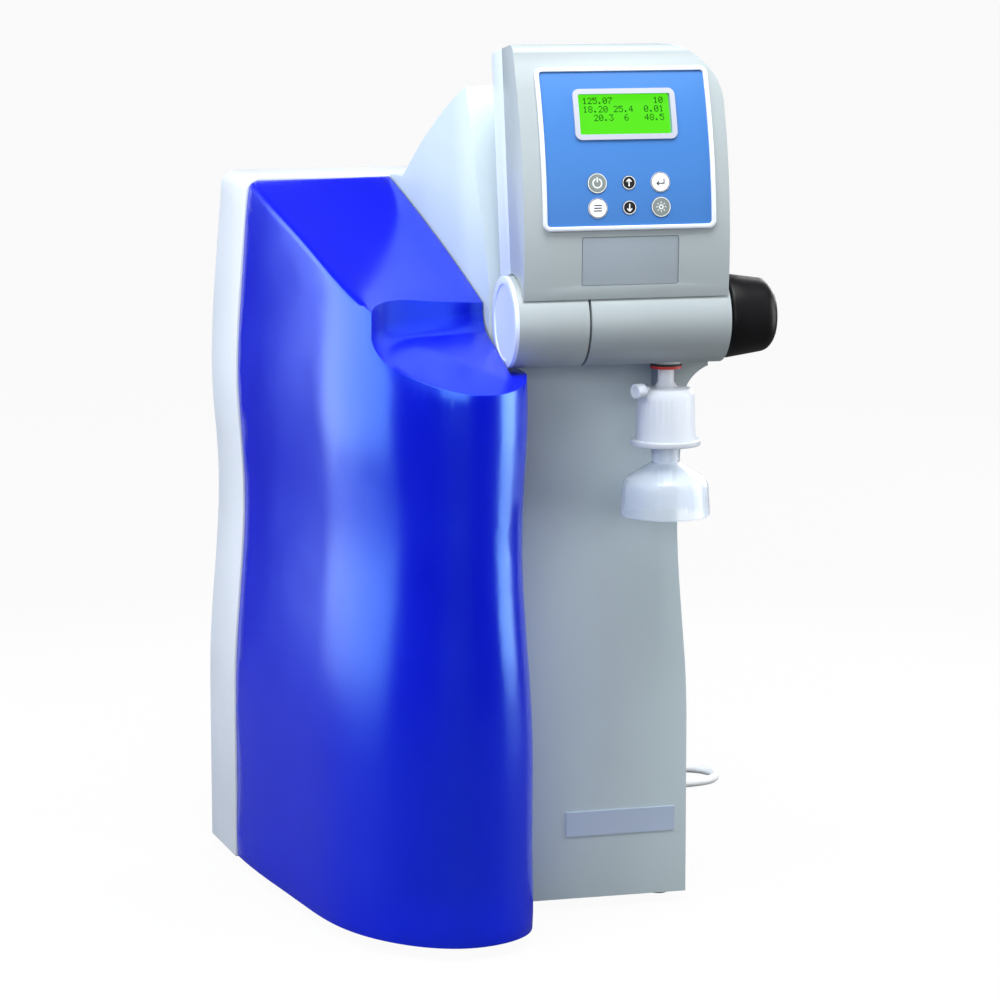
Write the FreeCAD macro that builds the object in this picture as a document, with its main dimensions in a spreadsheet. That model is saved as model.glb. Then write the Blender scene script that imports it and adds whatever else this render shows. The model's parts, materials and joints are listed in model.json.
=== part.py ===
import FreeCAD, Part
import math
import os
import re
import Sketcher

# Bench-top ultrapure water system, in millimetres.
# X runs to the right, Y to the back and Z up; the origin is the centre of the footprint on the bench.

Vector = FreeCAD.Vector
doc = FreeCAD.newDocument("WaterSystem")

# ---------------------------------------------------------------- driving dimensions

SIZES = {
    # cabinet
    "cabinet_left": 148.5,
    "cabinet_flare": 4.0,
    "cabinet_right": 114.0,
    "cabinet_wall": 3.0,
    "top_round": 10.0,
    "seam_depth": 92.0,
    "foot_height": 7.0,
    "foot_radius": 6.0,
    "foot_inset": 14.0,
    "plate_thickness": 3.0,
    # the wave of the side walls
    "wave_start": 115.0,
    "wave_waist": 255.0,
    "wave_crest": 326.0,
    "wave_finish": 490.0,
    "waist_inset": 7.6,
    "crest_inset": 3.9,
    "finish_inset": 13.0,
    # tower
    "tower_face": 65.0,
    "tower_left": 16.0,
    "tower_skew": 25.0,
    "tower_drop": 56.0,
    "apex_rise": 63.0,
    "apex_setback": 30.0,
    "crown_bow": 4.0,
    "crown_foot": 71.0,
    # blue cover
    "cover_foot": 8.0,
    "cover_wall": 2.5,
    "cover_gap": 1.5,
    "cover_front": 160.0,
    "nose_across": 51.0,
    "return_across": 1.0,
    "shoulder_across": 105.2,
    "shoulder_front": 123.2,
    "flank_across": 131.1,
    "flank_front": 33.6,
    "corner_across": 11.4,
    "corner_front": 140.0,
    "hood_left_drop": 4.0,
    "hood_left_front": 404.0,
    "hood_left_bow": 3.5,
    "hood_right_drop": 2.0,
    "hood_right_middle": 391.0,
    "hood_right_front": 318.0,
    "hood_right_across": 24.0,
    "grip_across": 48.5,
    "grip_front": 70.5,
    "grip_depth": 82.0,
    "grip_turn": 22.0,
    "grip_left": 80.0,
    "grip_corner": 60.0,
    "grip_wall_foot": 374.0,
    "grip_lip": 345.0,
    "grip_round": 14.0,
    "notch_height": 351.5,
    # hidden hinge of the cover
    "pivot_across": 135.0,
    "pivot_depth": 120.0,
    "pivot_radius": 3.0,
    "pivot_clearance": 0.05,
    "arm_low": 26.0,
    "arm_high": 205.0,
    "arm_height": 10.0,
    "arm_width": 5.0,
    "arm_reach": 36.0,
    "arm_forward": 46.0,
    "arm_leg": 80.0,
    "lug_height": 6.0,
    "lug_gap": 0.5,
    "lug_length": 30.0,
    "lug_width": 12.0,
    "catch_width": 14.0,
    "catch_depth": 10.0,
    "catch_drop": 25.0,
    # dispensing barrel
    "barrel_front": 104.0,
    "barrel_height": 381.5,
    "barrel_radius": 28.0,
    "barrel_wall": 3.0,
    "barrel_left": 17.0,
    "barrel_split": 30.0,
    "barrel_right": 119.0,
    "barrel_gap": 1.5,
    "cap_thickness": 2.5,
    "cap_rim": 5.0,
    "cap_recess": 0.8,
    "arm_drop": 5.0,
    "arm_front": 86.0,
    "arm_rise": 4.0,
    "arm_wrap": 22.0,
    "arm_flare": 15.0,
    "spindle_radius": 5.0,
    "running_clearance": 0.05,
    "outlet_across": 86.0,
    # knob and valve
    "knob_length": 32.0,
    "knob_radius": 26.0,
    "knob_tip_radius": 21.7,
    "knob_gap": 1.5,
    "stem_radius": 3.0,
    "plug_radius": 8.0,
    "plug_length": 20.0,
    # outlet filter and bell
    "washer_radius": 9.6,
    "washer_height": 1.6,
    "neck_radius": 5.0,
    "neck_length": 11.5,
    "capsule_radius": 18.5,
    "capsule_length": 32.5,
    "capsule_wall": 1.5,
    "flange_radius": 21.6,
    "flange_height": 3.6,
    "bell_neck_radius": 8.7,
    "bell_neck_length": 10.8,
    "bell_radius": 28.0,
    "bell_cone": 8.6,
    "bell_corner": 6.0,
    "bell_flare": 1.4,
    "bell_length": 43.6,
    "vent_radius": 4.6,
    "vent_length": 6.5,
    "stub_radius": 2.2,
    "vent_turn": 205.0,
    "bell_wall": 1.2,
    # display head, in its own upright frame on the barrel axis
    "head_tilt": 9.0,
    "head_left": 11.5,
    "head_right": 117.5,
    "head_top": 165.4,
    "head_back": 24.0,
    "head_lip": 27.0,
    "head_bulge": 37.0,
    "head_bulge_height": 86.0,
    "head_wall": 2.5,
    "head_shoulder": 38.0,
    "head_gap": 1.2,
    # control face
    "face_centre": 54.0,
    "face_foot": 51.6,
    "face_width": 108.6,
    "face_height": 98.9,
    "face_frame": 2.8,
    "face_round": 4.8,
    "face_proud": 2.2,
    "screen_width": 57.6,
    "screen_height": 24.6,
    "screen_middle": 121.5,
    "screen_frame": 3.2,
    "key_pitch": 19.8,
    "key_rise": 14.9,
    "key_middle": 72.5,
    "key_radius": 6.0,
    "arrow_radius": 4.15,
    "key_proud": 1.3,
    "key_lift": 0.65,
    "key_clearance": 0.15,
    "key_shift": -0.1,
    "badge_across": 54.8,
    "overlay_thickness": 0.8,
    "film_gap": 0.03,
    "badge_width": 60.0,
    "badge_height": 28.0,
    "badge_middle": 33.5,
    "label_width": 71.6,
    "label_height": 15.6,
    "label_foot": 47.8,
    "label_left": 34.3,
    "label_thickness": 0.8,
    # water train
    "tank_left": 10.0,
    "tank_width": 110.0,
    "tank_front": 40.0,
    "tank_depth": 155.0,
    "tank_foot": 100.0,
    "tank_height": 300.0,
    "tank_wall": 2.5,
    "tank_headroom": 57.0,
    "tank_gap": 4.0,
    "lid_thickness": 4.0,
    "float_radius": 15.0,
    "float_height": 24.0,
    "float_level": 102.8,
    "polisher_radius": 34.0,
    "softener_radius": 30.0,
    "polisher_across": 90.0,
    "polisher_back": 26.0,
    "softener_across": 68.0,
    "softener_front": 40.0,
    "reactor_across": 64.0,
    "ultrafilter_across": 60.0,
    "ultrafilter_radius": 15.0,
    "ultrafilter_length": 250.0,
    "manifold_height": 16.0,
    "pump_across": 44.0,
    "pump_split": 26.0,
    "pump_axis": 34.0,
    "pump_radius": 24.0,
    "pump_length": 36.0,
    "motor_radius": 28.0,
    "motor_length": 72.0,
    "cartridge_length": 300.0,
    "reactor_radius": 24.0,
    "reactor_length": 330.0,
    "reactor_drop": 36.0,
    "pipe_rise": 22.0,
    "transformer_depth": 18.0,
    "standoff_length": 10.0,
    "panel_left": 20.0,
    "panel_right": 95.0,
    "panel_foot": 60.0,
    "panel_head": 330.0,
    "panel_recess": 10.0,
    "board_left": 10.0,
    "board_foot": 160.0,
    "board_width": 95.0,
    "board_height": 150.0,
    "board_thickness": 1.6,
    "board_margin": 6.0,
    "transformer_width": 40.0,
    "transformer_height": 50.0,
    "inlet_width": 28.0,
    "inlet_height": 24.0,
    "inlet_wall": 4.0,
    "fitting_pitch": 40.0,
    # feed tube
    "tube_radius": 3.175,
    "coil_turn_radius": 38.0,
}

# The cabinet is as tall and as deep as the tank and the board behind it need.
DERIVED = {
    "cabinet_top": "tank_foot + tank_height + tank_headroom",
    "tower_upright": "cabinet_top - tower_drop",
    "apex_height": "cabinet_top + apex_rise",
    "hood_left_back": "cabinet_top - hood_left_drop",
    "hood_right_back": "cabinet_top - hood_right_drop",
    "board_front": "tank_depth - tank_front + tank_gap + transformer_depth",
    "cabinet_back": "board_front + standoff_length + plate_thickness + panel_recess",
    "pipe_height": "tank_foot + tank_height + lid_thickness + pipe_rise",
    "reactor_foot": "pipe_height - reactor_drop - reactor_length",
    "floor_height": "foot_height + plate_thickness",
}

sheet = doc.addObject("Spreadsheet::Sheet", "Sizes")
for row, (alias, number) in enumerate(SIZES.items(), 1):
    sheet.set(f"A{row}", alias)
    sheet.set(f"B{row}", str(number))
    sheet.setAlias(f"B{row}", alias)
working = doc.addObject("Spreadsheet::Sheet", "Working")
doc.recompute()


class Size:
    """Reads a driving dimension from the sheet, or works out a derived one, as size.name."""

    def __getattr__(self, alias):
        if alias in DERIVED:
            return value(alias)
        return float(sheet.get(alias))


size = Size()


def formula(text):
    """The text with each derived size written out and every alias as a reference into the sheet."""
    while any(re.search(rf"\b{alias}\b", text) for alias in DERIVED):
        for alias, meaning in DERIVED.items():
            text = re.sub(rf"\b{alias}\b", f"({meaning})", text)
    return re.sub(r"[a-z]+(?:_[a-z]+)+", lambda found: "Sizes." + found.group(0), text)


def value(text):
    """The number that a formula of the sheet gives."""
    working.set("A1", "=" + formula(text))
    working.recompute()
    return float(working.get("A1"))


# ---------------------------------------------------------------- helpers

nodes = {}


def node(item, label):
    """Registers an object as one sub-part of the assembly."""
    item.Label = label
    nodes[label] = item
    return item


def bind(item, prop, text):
    item.setExpression(prop, formula(text))


def place(item, across, depth, height):
    """Puts the object's own origin at three formulas."""
    bind(item, "Placement.Base.x", across)
    bind(item, "Placement.Base.y", depth)
    bind(item, "Placement.Base.z", height)
    return item


def box(name, across, depth, height, length, width, rise):
    """A block from its lowest corner and its three edges, all formulas."""
    item = doc.addObject("Part::Box", name)
    bind(item, "Length", length)
    bind(item, "Width", width)
    bind(item, "Height", rise)
    return place(item, across, depth, height)


TURNS = {
    "Z": FreeCAD.Rotation(),
    "X": FreeCAD.Rotation(Vector(0, 1, 0), 90),
    "Y": FreeCAD.Rotation(Vector(1, 0, 0), -90),
}


def rod(name, radius, length, across, depth, height, axis="Z"):
    """A cylinder that starts at a point and runs along one axis."""
    item = doc.addObject("Part::Cylinder", name)
    item.Placement = FreeCAD.Placement(Vector(), TURNS[axis])
    bind(item, "Radius", radius)
    bind(item, "Height", length)
    return place(item, across, depth, height)


def cut(name, base, tool):
    item = doc.addObject("Part::Cut", name)
    item.Base = base
    item.Tool = tool
    return item


def fuse(name, *parts):
    item = doc.addObject("Part::MultiFuse", name)
    item.Shapes = list(parts)
    item.Refine = True
    return item


def group(name, *parts):
    """Several separate solids in one node."""
    item = doc.addObject("Part::Compound", name)
    item.Links = list(parts)
    return item


def tube(name, radius, bore, length, across, depth, height, axis="Z"):
    outer = rod(name + "_outer", radius, length, across, depth, height, axis)
    inner = rod(name + "_bore", bore, length, across, depth, height, axis)
    return cut(name, outer, inner)


def feature(name, shape):
    item = doc.addObject("Part::Feature", name)
    item.Shape = shape
    return item


def origin_plane(body, role):
    return next(plane for plane in body.Origin.OriginFeatures if plane.Role == role)


def outline(body, corners):
    """A closed polygon in the body's XZ plane, with each corner at two formulas from the origin."""
    sketch = body.newObject("Sketcher::SketchObject", body.Name + "_outline")
    sketch.AttachmentSupport = [(origin_plane(body, "XZ_Plane"), "")]
    sketch.MapMode = "FlatFace"
    spots = [Vector(value(across), value(up), 0) for across, up in corners]
    for index, spot in enumerate(spots):
        sketch.addGeometry(Part.LineSegment(spot, spots[(index + 1) % len(spots)]))
    for index in range(len(spots)):
        sketch.addConstraint(Sketcher.Constraint("Coincident", index, 2, (index + 1) % len(spots), 1))
    for index, corner in enumerate(corners):
        for kind, axis, text in zip(("DistanceX", "DistanceY"), (-2, -1), corner):
            if text == "0":
                sketch.addConstraint(Sketcher.Constraint("PointOnObject", index, 1, axis))
                continue
            spot = sketch.addConstraint(Sketcher.Constraint(kind, -1, 1, index, 1, value(text)))
            sketch.setExpression(f"Constraints[{spot}]", formula(text))
    return sketch


def turned(label, corners, across, depth, height, lying=False):
    """A PartDesign body turned about its own axis from an outline of (radius, height) formulas."""
    body = doc.addObject("PartDesign::Body", label)
    sketch = outline(body, corners)
    turn = body.newObject("PartDesign::Revolution", label + "_turn")
    turn.Profile = sketch
    turn.ReferenceAxis = (sketch, ["V_Axis"])
    turn.Angle = 360
    sketch.Visibility = False
    if lying:
        body.Placement = FreeCAD.Placement(Vector(), TURNS["X"])
    return place(body, across, depth, height)


# ---------------------------------------------------------------- shared forms of the shells


def wave(height):
    """How far a side wall stands in from its plane at one height."""
    stations = [
        (size.wave_start, 0.0),
        (size.wave_waist, size.waist_inset),
        (size.wave_crest, size.crest_inset),
        (size.wave_finish, size.finish_inset),
    ]
    if height <= stations[0][0]:
        return stations[0][1]
    for (low, first), (high, second) in zip(stations, stations[1:]):
        if height <= high:
            share = (1 - math.cos(math.pi * (height - low) / (high - low))) / 2
            return first + (second - first) * share
    return stations[-1][1]


def wave_heights(foot, head, count):
    return [foot + (head - foot) * step / (count - 1) for step in range(count)]


def side_curve(across, sign, foot, head, inset):
    """The wavy edge of a wall, seen from the front."""
    points = [Vector(across - sign * (wave(z) + inset), 0, z) for z in wave_heights(foot, head, 14)]
    curve = Part.BSplineCurve()
    curve.interpolate(points)
    return curve.toShape()


def front_face(left, right, foot, head, inset, rounding):
    """The cabinet seen from the front: two wavy sides, a flat foot and a flat top with round corners."""
    top = head - inset
    radius = max(rounding - inset, 0.5)
    low = top - radius
    edges = [side_curve(-left, -1, foot, low, inset), side_curve(right, 1, foot, low, inset)]
    left_top = Vector(-left + wave(low) + inset, 0, low)
    right_top = Vector(right - wave(low) - inset, 0, low)
    bow = radius * (1 - math.sqrt(0.5))
    left_end = Vector(left_top.x + radius, 0, top)
    right_end = Vector(right_top.x - radius, 0, top)
    edges.append(Part.Arc(left_top, Vector(left_top.x + bow, 0, top - bow), left_end).toShape())
    edges.append(Part.makeLine(left_end, right_end))
    edges.append(Part.Arc(right_end, Vector(right_top.x - bow, 0, top - bow), right_top).toShape())
    left_foot = Vector(-left + wave(foot) + inset, 0, foot)
    right_foot = Vector(right - wave(foot) - inset, 0, foot)
    edges.append(Part.makeLine(left_foot, right_foot))
    return Part.Face(Part.Wire(Part.__sortEdges__(edges)))


def cabinet_solid(inset, front, back):
    """The white rear cabinet between two depths, or its inside when inset; its left side flares."""
    run = size.cabinet_back - size.seam_depth
    wires = []
    for depth in (front, back):
        left = size.cabinet_left + size.cabinet_flare * (depth - size.seam_depth) / run
        face = front_face(left, size.cabinet_right, size.foot_height, size.cabinet_top, inset, size.top_round)
        face.translate(Vector(0, depth, 0))
        wires.append(face.OuterWire)
    return Part.makeLoft(wires, True, True)


def slant_point(depth, inset):
    """A point of the tower's slanted left wall at one depth, seen from above."""
    run = size.tower_face + size.seam_depth
    share = (depth + size.tower_face) / run
    return -size.tower_left - size.tower_skew * share + inset


def slant_prism(inset, right, front, back, foot, head):
    """Everything to the right of the slanted wall."""
    corners = [
        Vector(slant_point(front, inset), front, foot),
        Vector(right, front, foot),
        Vector(right, back, foot),
        Vector(slant_point(back, inset), back, foot),
    ]
    return Part.Face(Part.makePolygon(corners + corners[:1])).extrude(Vector(0, 0, head - foot))


def tower_solid(inset):
    """The tower in front of the cabinet seam, or its inside when inset by the wall."""
    far = size.seam_depth + 40
    deep = size.foot_height - 40
    crown_depth = (size.crown_foot - size.apex_setback + size.crown_bow) / 2
    crown_height = (size.apex_height + size.cabinet_top) / 2 + size.crown_bow
    crown_middle = Vector(0, crown_depth, crown_height)
    face_foot = Vector(0, -size.tower_face, deep)
    face_head = Vector(0, -size.tower_face, size.tower_upright)
    apex = Vector(0, -size.apex_setback, size.apex_height)
    crown_end = Vector(0, size.crown_foot, size.cabinet_top)
    edges = [
        Part.makeLine(face_foot, face_head),
        Part.makeLine(face_head, apex),
        Part.Arc(apex, crown_middle, crown_end).toShape(),
        Part.makeLine(crown_end, Vector(0, far, size.cabinet_top)),
        Part.makeLine(Vector(0, far, size.cabinet_top), Vector(0, far, deep)),
        Part.makeLine(Vector(0, far, deep), face_foot),
    ]
    side = Part.Face(Part.Wire(edges))
    if inset:
        side = side.makeOffset2D(-inset)
    span = size.cabinet_right + size.cabinet_left
    side.translate(Vector(-span / 2, 0, 0))
    body = side.extrude(Vector(span, 0, 0))
    above = size.apex_height + 30
    front = front_face(size.cabinet_left, size.cabinet_right, deep, above, inset, size.top_round)
    front.translate(Vector(0, -size.tower_face - 20, 0))
    body = body.common(front.extrude(Vector(0, 400, 0)))
    body = body.common(slant_prism(inset, span, -size.tower_face - 20, far, deep - 20, size.apex_height + 60))
    trim = Part.makeBox(2 * span, 400, 600, Vector(-span, size.seam_depth - 400, size.foot_height))
    return body.common(trim)


def cover_plan(height, inset):
    """The D-shaped outline of the cover from the seam round to the face of the tower, at one height."""
    shift = wave(height) + inset
    reach = size.cover_front - 0.35 * wave(height) - inset
    scale = reach / size.cover_front
    seam = size.seam_depth - size.cover_gap + 30
    points = [
        Vector(-size.cabinet_left + 0.4 + shift, seam, height),
        Vector(-size.cabinet_left + 1.4 + shift, size.seam_depth - size.cover_gap, height),
        Vector(-size.flank_across + 0.98 * shift, -size.flank_front, height),
        Vector(-size.shoulder_across + 0.86 * shift, -size.shoulder_front * scale, height),
        Vector(-size.nose_across, -reach, height),
        Vector(-size.corner_across - 0.7 * shift, -size.corner_front * scale, height),
        Vector(-size.return_across - shift, -size.barrel_front, height),
        Vector(-size.return_across - shift, -size.tower_face, height),
    ]
    curve = Part.BSplineCurve()
    curve.interpolate(points)
    start = points[0]
    end = points[-1]
    inner = Vector(end.x, seam, height)
    return Part.Wire([curve.toShape(), Part.makeLine(end, inner), Part.makeLine(inner, start)])


def hood_solid(inset):
    """Everything under the sloping hood: a ruled surface between a left and a right edge line."""
    ends = []
    back = size.seam_depth + 30
    front = -size.cover_front - 40
    left = -size.cabinet_left - 20
    run = (back - front) / (size.seam_depth + size.cover_front)
    left_middle = (size.hood_left_back + size.hood_left_front) / 2 + size.hood_left_bow
    rows = (
        (left, size.hood_left_back, left_middle, size.hood_left_front),
        (size.hood_right_across, size.hood_right_back, size.hood_right_middle, size.hood_right_front),
    )
    for across, rear_height, middle_height, front_height in rows:
        middle = (size.seam_depth - size.cover_front) / 2
        rear_end = Vector(across, back, rear_height + (rear_height - middle_height) * (run - 1) - inset)
        front_end = Vector(across, front, front_height + (front_height - middle_height) * (run - 1) - inset)
        top = Part.Arc(rear_end, Vector(across, middle, middle_height - inset), front_end).toShape()
        foot_front = Vector(across, front, -20)
        foot_back = Vector(across, back, -20)
        down = Part.makeLine(front_end, foot_front)
        across_foot = Part.makeLine(foot_front, foot_back)
        up = Part.makeLine(foot_back, rear_end)
        ends.append(Part.Wire([top, down, across_foot, up]))
    return Part.makeLoft(ends, True, True)


def grip_solid(grow):
    """The finger grip: a back wall curving forward at its left end, over a floor that falls to the lip."""
    reach = 160.0
    width = 200.0
    left = -size.grip_left - grow
    front = grow - reach
    slope = (size.grip_wall_foot - size.grip_lip) / size.grip_depth
    lift = grow * math.sqrt(1 + slope * slope)
    plan = Part.makeBox(width, reach, 600, Vector(left, front, 0))
    corner = []
    for edge in plan.Edges:
        middle = edge.CenterOfMass
        if abs(middle.x - left) < 0.01 and abs(middle.y - grow) < 0.01:
            corner.append(edge)
    plan = plan.makeFillet(size.grip_corner + grow, corner)
    heights = [(y, size.grip_wall_foot + slope * y - lift) for y in (2 * reach, -2 * reach)]
    profile = [Vector(left - 10, y, z) for y, z in heights]
    profile += [Vector(left - 10, y, 700) for y, z in reversed(heights)]
    above = Part.Face(Part.makePolygon(profile + profile[:1])).extrude(Vector(2 * width, 0, 0))
    tool = plan.common(above)
    floor_edges = []
    for edge in tool.Edges:
        middle = edge.CenterOfMass
        level = size.grip_wall_foot + slope * middle.y - lift
        inner = middle.y > front + 1 and middle.x < left + width - 1
        if inner and edge.BoundBox.ZLength < 0.5 * reach and middle.z < level + 4:
            floor_edges.append(edge)
    tool = tool.makeFillet(size.grip_round + grow, floor_edges)
    tool.rotate(Vector(), Vector(0, 0, 1), size.grip_turn)
    tool.translate(Vector(-size.grip_across, -size.grip_front, 0))
    return tool


def cover_solid(inset):
    """The cover filled solid, or the space inside it when inset by the wall."""
    foot = size.cover_foot - (20 if inset else 0)
    heights = wave_heights(foot, 480, 13)
    body = Part.makeLoft([cover_plan(z, inset) for z in heights], True, False)
    body = body.common(hood_solid(inset))
    span = size.cabinet_left
    clear = size.cover_gap - 0.3
    keep = slant_prism(-clear, span, -size.tower_face - clear, 200, -30, 600)
    body = body.cut(keep)
    notch_left = -size.barrel_left - 1.2 - inset
    notch_corner = Vector(notch_left, -180 - size.tower_face, size.notch_height - inset)
    body = body.cut(Part.makeBox(120, 200, 300, notch_corner))
    body = body.cut(grip_solid(inset))
    back = size.seam_depth - size.cover_gap + (20 if inset else 0)
    trim = Part.makeBox(400, 400, 700, Vector(-300, back - 400, foot))
    return body.common(trim)


def cover_shape():
    return cover_solid(0).cut(cover_solid(size.cover_wall))


# ---------------------------------------------------------------- cabinet


def make_base():
    """The floor of the cabinet, the tower and the cartridge bay, with four rubber feet."""
    wall = size.cabinet_wall
    foot = size.foot_height
    thick = size.plate_thickness
    rear = cabinet_solid(wall, size.seam_depth, size.cabinet_back - wall)
    tower = tower_solid(wall)
    layer = Part.makeBox(400, 400, thick, Vector(-200, -200, foot))
    bay = [
        Vector(-size.flank_across - 5, size.seam_depth, foot),
        Vector(-size.flank_across + 6, 0, foot),
        Vector(-size.shoulder_across, -50, foot),
        Vector(-size.nose_across - 10, -70, foot),
        Vector(slant_point(-60, 2), -60, foot),
        Vector(slant_point(size.seam_depth, 2), size.seam_depth, foot),
    ]
    bay_floor = Part.Face(Part.makePolygon(bay + bay[:1])).extrude(Vector(0, 0, thick))
    plate = bay_floor.cut(tower_solid(0)).fuse([rear.common(layer), tower.common(layer)])
    gap = slant_prism(0, 0, -60, size.seam_depth, foot, foot + thick)
    plate = plate.fuse(gap).removeSplitter()
    node(feature("BasePlate", plate), "base_plate")
    spots = (
        ("cabinet_right - foot_inset * 0.7", "foot_inset * 2 - tower_face"),
        ("cabinet_right - foot_inset", "cabinet_back - foot_inset"),
        ("foot_inset * 1.5 - cabinet_left", "cabinet_back - foot_inset"),
        ("foot_inset - shoulder_across", "foot_inset * 1.5 - tower_face"),
    )
    feet = []
    for index, (across, depth) in enumerate(spots):
        feet.append(rod(f"Foot{index}", "foot_radius", "foot_height", across, depth, "0"))
    node(group("Feet", *feet), "rubber_feet")


def make_rear_housing():
    """White shell behind the seam, open to the front and below, with a window for the rear panel."""
    outer = cabinet_solid(0, size.seam_depth, size.cabinet_back)
    rear_edges = []
    for edge in outer.Edges:
        if edge.BoundBox.YMin > size.cabinet_back - 0.01 and edge.CenterOfMass.z > size.foot_height + 1:
            rear_edges.append(edge)
    outer = outer.makeFillet(size.top_round / 2, rear_edges)
    rim = size.cabinet_wall
    shell = outer.cut(cabinet_solid(rim, size.seam_depth - 10, size.cabinet_back - rim))
    window = Part.makeBox(
        size.panel_left + size.panel_right - 2 * rim, 40, size.panel_head - size.panel_foot - 2 * rim,
        Vector(-size.panel_left + rim, size.cabinet_back - 20, size.panel_foot + rim))
    shell = shell.cut(window)
    shell = shell.cut(nodes["base_plate"].Shape)
    node(feature("RearHousing", shell), "rear_housing")


def make_tower():
    """Light grey tower: front face, slanted left fin, wavy right side and the sloping crown."""
    outer = tower_solid(0)
    inner = tower_solid(size.cabinet_wall)
    opening = Part.makeBox(400, 40, 600, Vector(-200, size.seam_depth - 1, 0)).common(inner)
    shell = outer.cut(inner).cut(opening)
    shell = shell.cut(nodes["base_plate"].Shape)
    hole_start = Vector(size.outlet_across, -size.tower_face - 20, size.barrel_height - 9)
    shell = shell.cut(Part.makeCylinder(7, 40, hole_start, Vector(0, 1, 0)))
    node(feature("Tower", shell), "tower_shell")
    label = box("Label", "label_left", "-tower_face - label_thickness", "label_foot",
                "label_width", "label_thickness", "label_height")
    node(label, "name_plate")


def make_rear_panel():
    """A recessed metal tray in the rear window, with its water fittings, power inlet and screws."""
    depth = "cabinet_back - panel_recess - plate_thickness"
    outer = box("TrayOuter", "-panel_left", depth, "panel_foot", "panel_left + panel_right",
                "panel_recess", "panel_head - panel_foot")
    inner = box("TrayInner", "cabinet_wall - panel_left", "cabinet_back - panel_recess",
                "panel_foot + cabinet_wall", "panel_left + panel_right - 2 * cabinet_wall", "panel_recess",
                "panel_head - panel_foot - 2 * cabinet_wall")
    node(cut("Tray", outer, inner), "rear_panel")
    fittings = []
    for index in range(3):
        height = f"panel_foot + 30 + {index} * fitting_pitch"
        nut = rod(f"FittingNut{index}", "tube_radius + 6", "panel_recess * 0.4", "panel_right - 70",
                  "cabinet_back - panel_recess", height, "Y")
        neck = rod(f"FittingNeck{index}", "tube_radius + 3.5", "panel_recess", "panel_right - 70",
                   "cabinet_back - panel_recess", height, "Y")
        bore = rod(f"FittingBore{index}", "tube_radius", "panel_recess * 0.5", "panel_right - 70",
                   "cabinet_back - panel_recess * 0.5", height, "Y")
        fittings.append(cut(f"Fitting{index}", fuse(f"FittingBody{index}", nut, neck), bore))
    node(group("Fittings", *fittings), "rear_fittings")
    inlet = box("Inlet", "panel_right - 42", "cabinet_back - panel_recess", "panel_foot + 20",
                "inlet_width", "panel_recess * 0.8", "inlet_height")
    recess = box("InletRecess", "panel_right - 42 + inlet_wall", "cabinet_back - panel_recess * 0.7",
                 "panel_foot + 20 + inlet_wall", "inlet_width - 2 * inlet_wall", "panel_recess",
                 "inlet_height - 2 * inlet_wall")
    node(cut("PowerInlet", inlet, recess), "power_inlet")
    screws = []
    for index, across in enumerate(("8 - panel_left", "panel_right - 8")):
        for row, height in enumerate(("panel_foot + 10", "panel_head - 10")):
            name = f"Screw{index}{row}"
            screws.append(rod(name, "3", "2", across, "cabinet_back - panel_recess", height, "Y"))
    node(group("Screws", *screws), "panel_screws")


def make_bulkhead():
    """The wall between the cartridge bay and the rear cabinet, slotted for the hinge arms."""
    plate = cabinet_solid(size.cabinet_wall, size.seam_depth + 1, size.seam_depth + 3)
    keep_corner = Vector(slant_point(size.seam_depth, 0) - 200, -200, size.floor_height)
    plate = plate.common(Part.makeBox(200, 400, 600, keep_corner))
    for height in (size.arm_low, size.arm_high):
        corner = Vector(-size.pivot_across - 30, size.seam_depth - 10, height - size.arm_height / 2 - 4)
        plate = plate.cut(Part.makeBox(size.arm_reach + 40, 20, size.arm_height + 8, corner))
    node(feature("Bulkhead", plate), "bay_bulkhead")


# ---------------------------------------------------------------- cover


def arm_shape(height):
    """One swan-neck arm: an eye on the pivot, a leg to the right, a leg forward and a leg to the wall."""
    low = height - size.arm_height / 2
    half = size.arm_width / 2
    eye = Vector(-size.pivot_across, size.pivot_depth, low)
    turn_right = -size.pivot_across + size.arm_reach
    turn_front = size.pivot_depth - size.arm_forward
    boss = Part.makeCylinder(size.pivot_radius + 3, size.arm_height, eye)
    wide = size.arm_width
    tall = size.arm_height
    leg_start = Vector(turn_right - size.arm_leg + half, turn_front - half, low)
    legs = [
        Part.makeBox(size.arm_reach + half, wide, tall, Vector(eye.x, eye.y - half, low)),
        Part.makeBox(wide, size.arm_forward + wide, tall, Vector(turn_right - half, turn_front - half, low)),
        Part.makeBox(size.arm_leg, wide, tall, leg_start),
    ]
    arm = boss.fuse(legs).removeSplitter()
    arm = arm.cut(Part.makeCylinder(size.pivot_radius + size.pivot_clearance, size.arm_height, eye))
    inside = cabinet_solid(size.cabinet_wall, size.seam_depth - 2, size.cabinet_back)
    return arm.common(cover_solid(size.cover_wall).fuse(inside))


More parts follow.
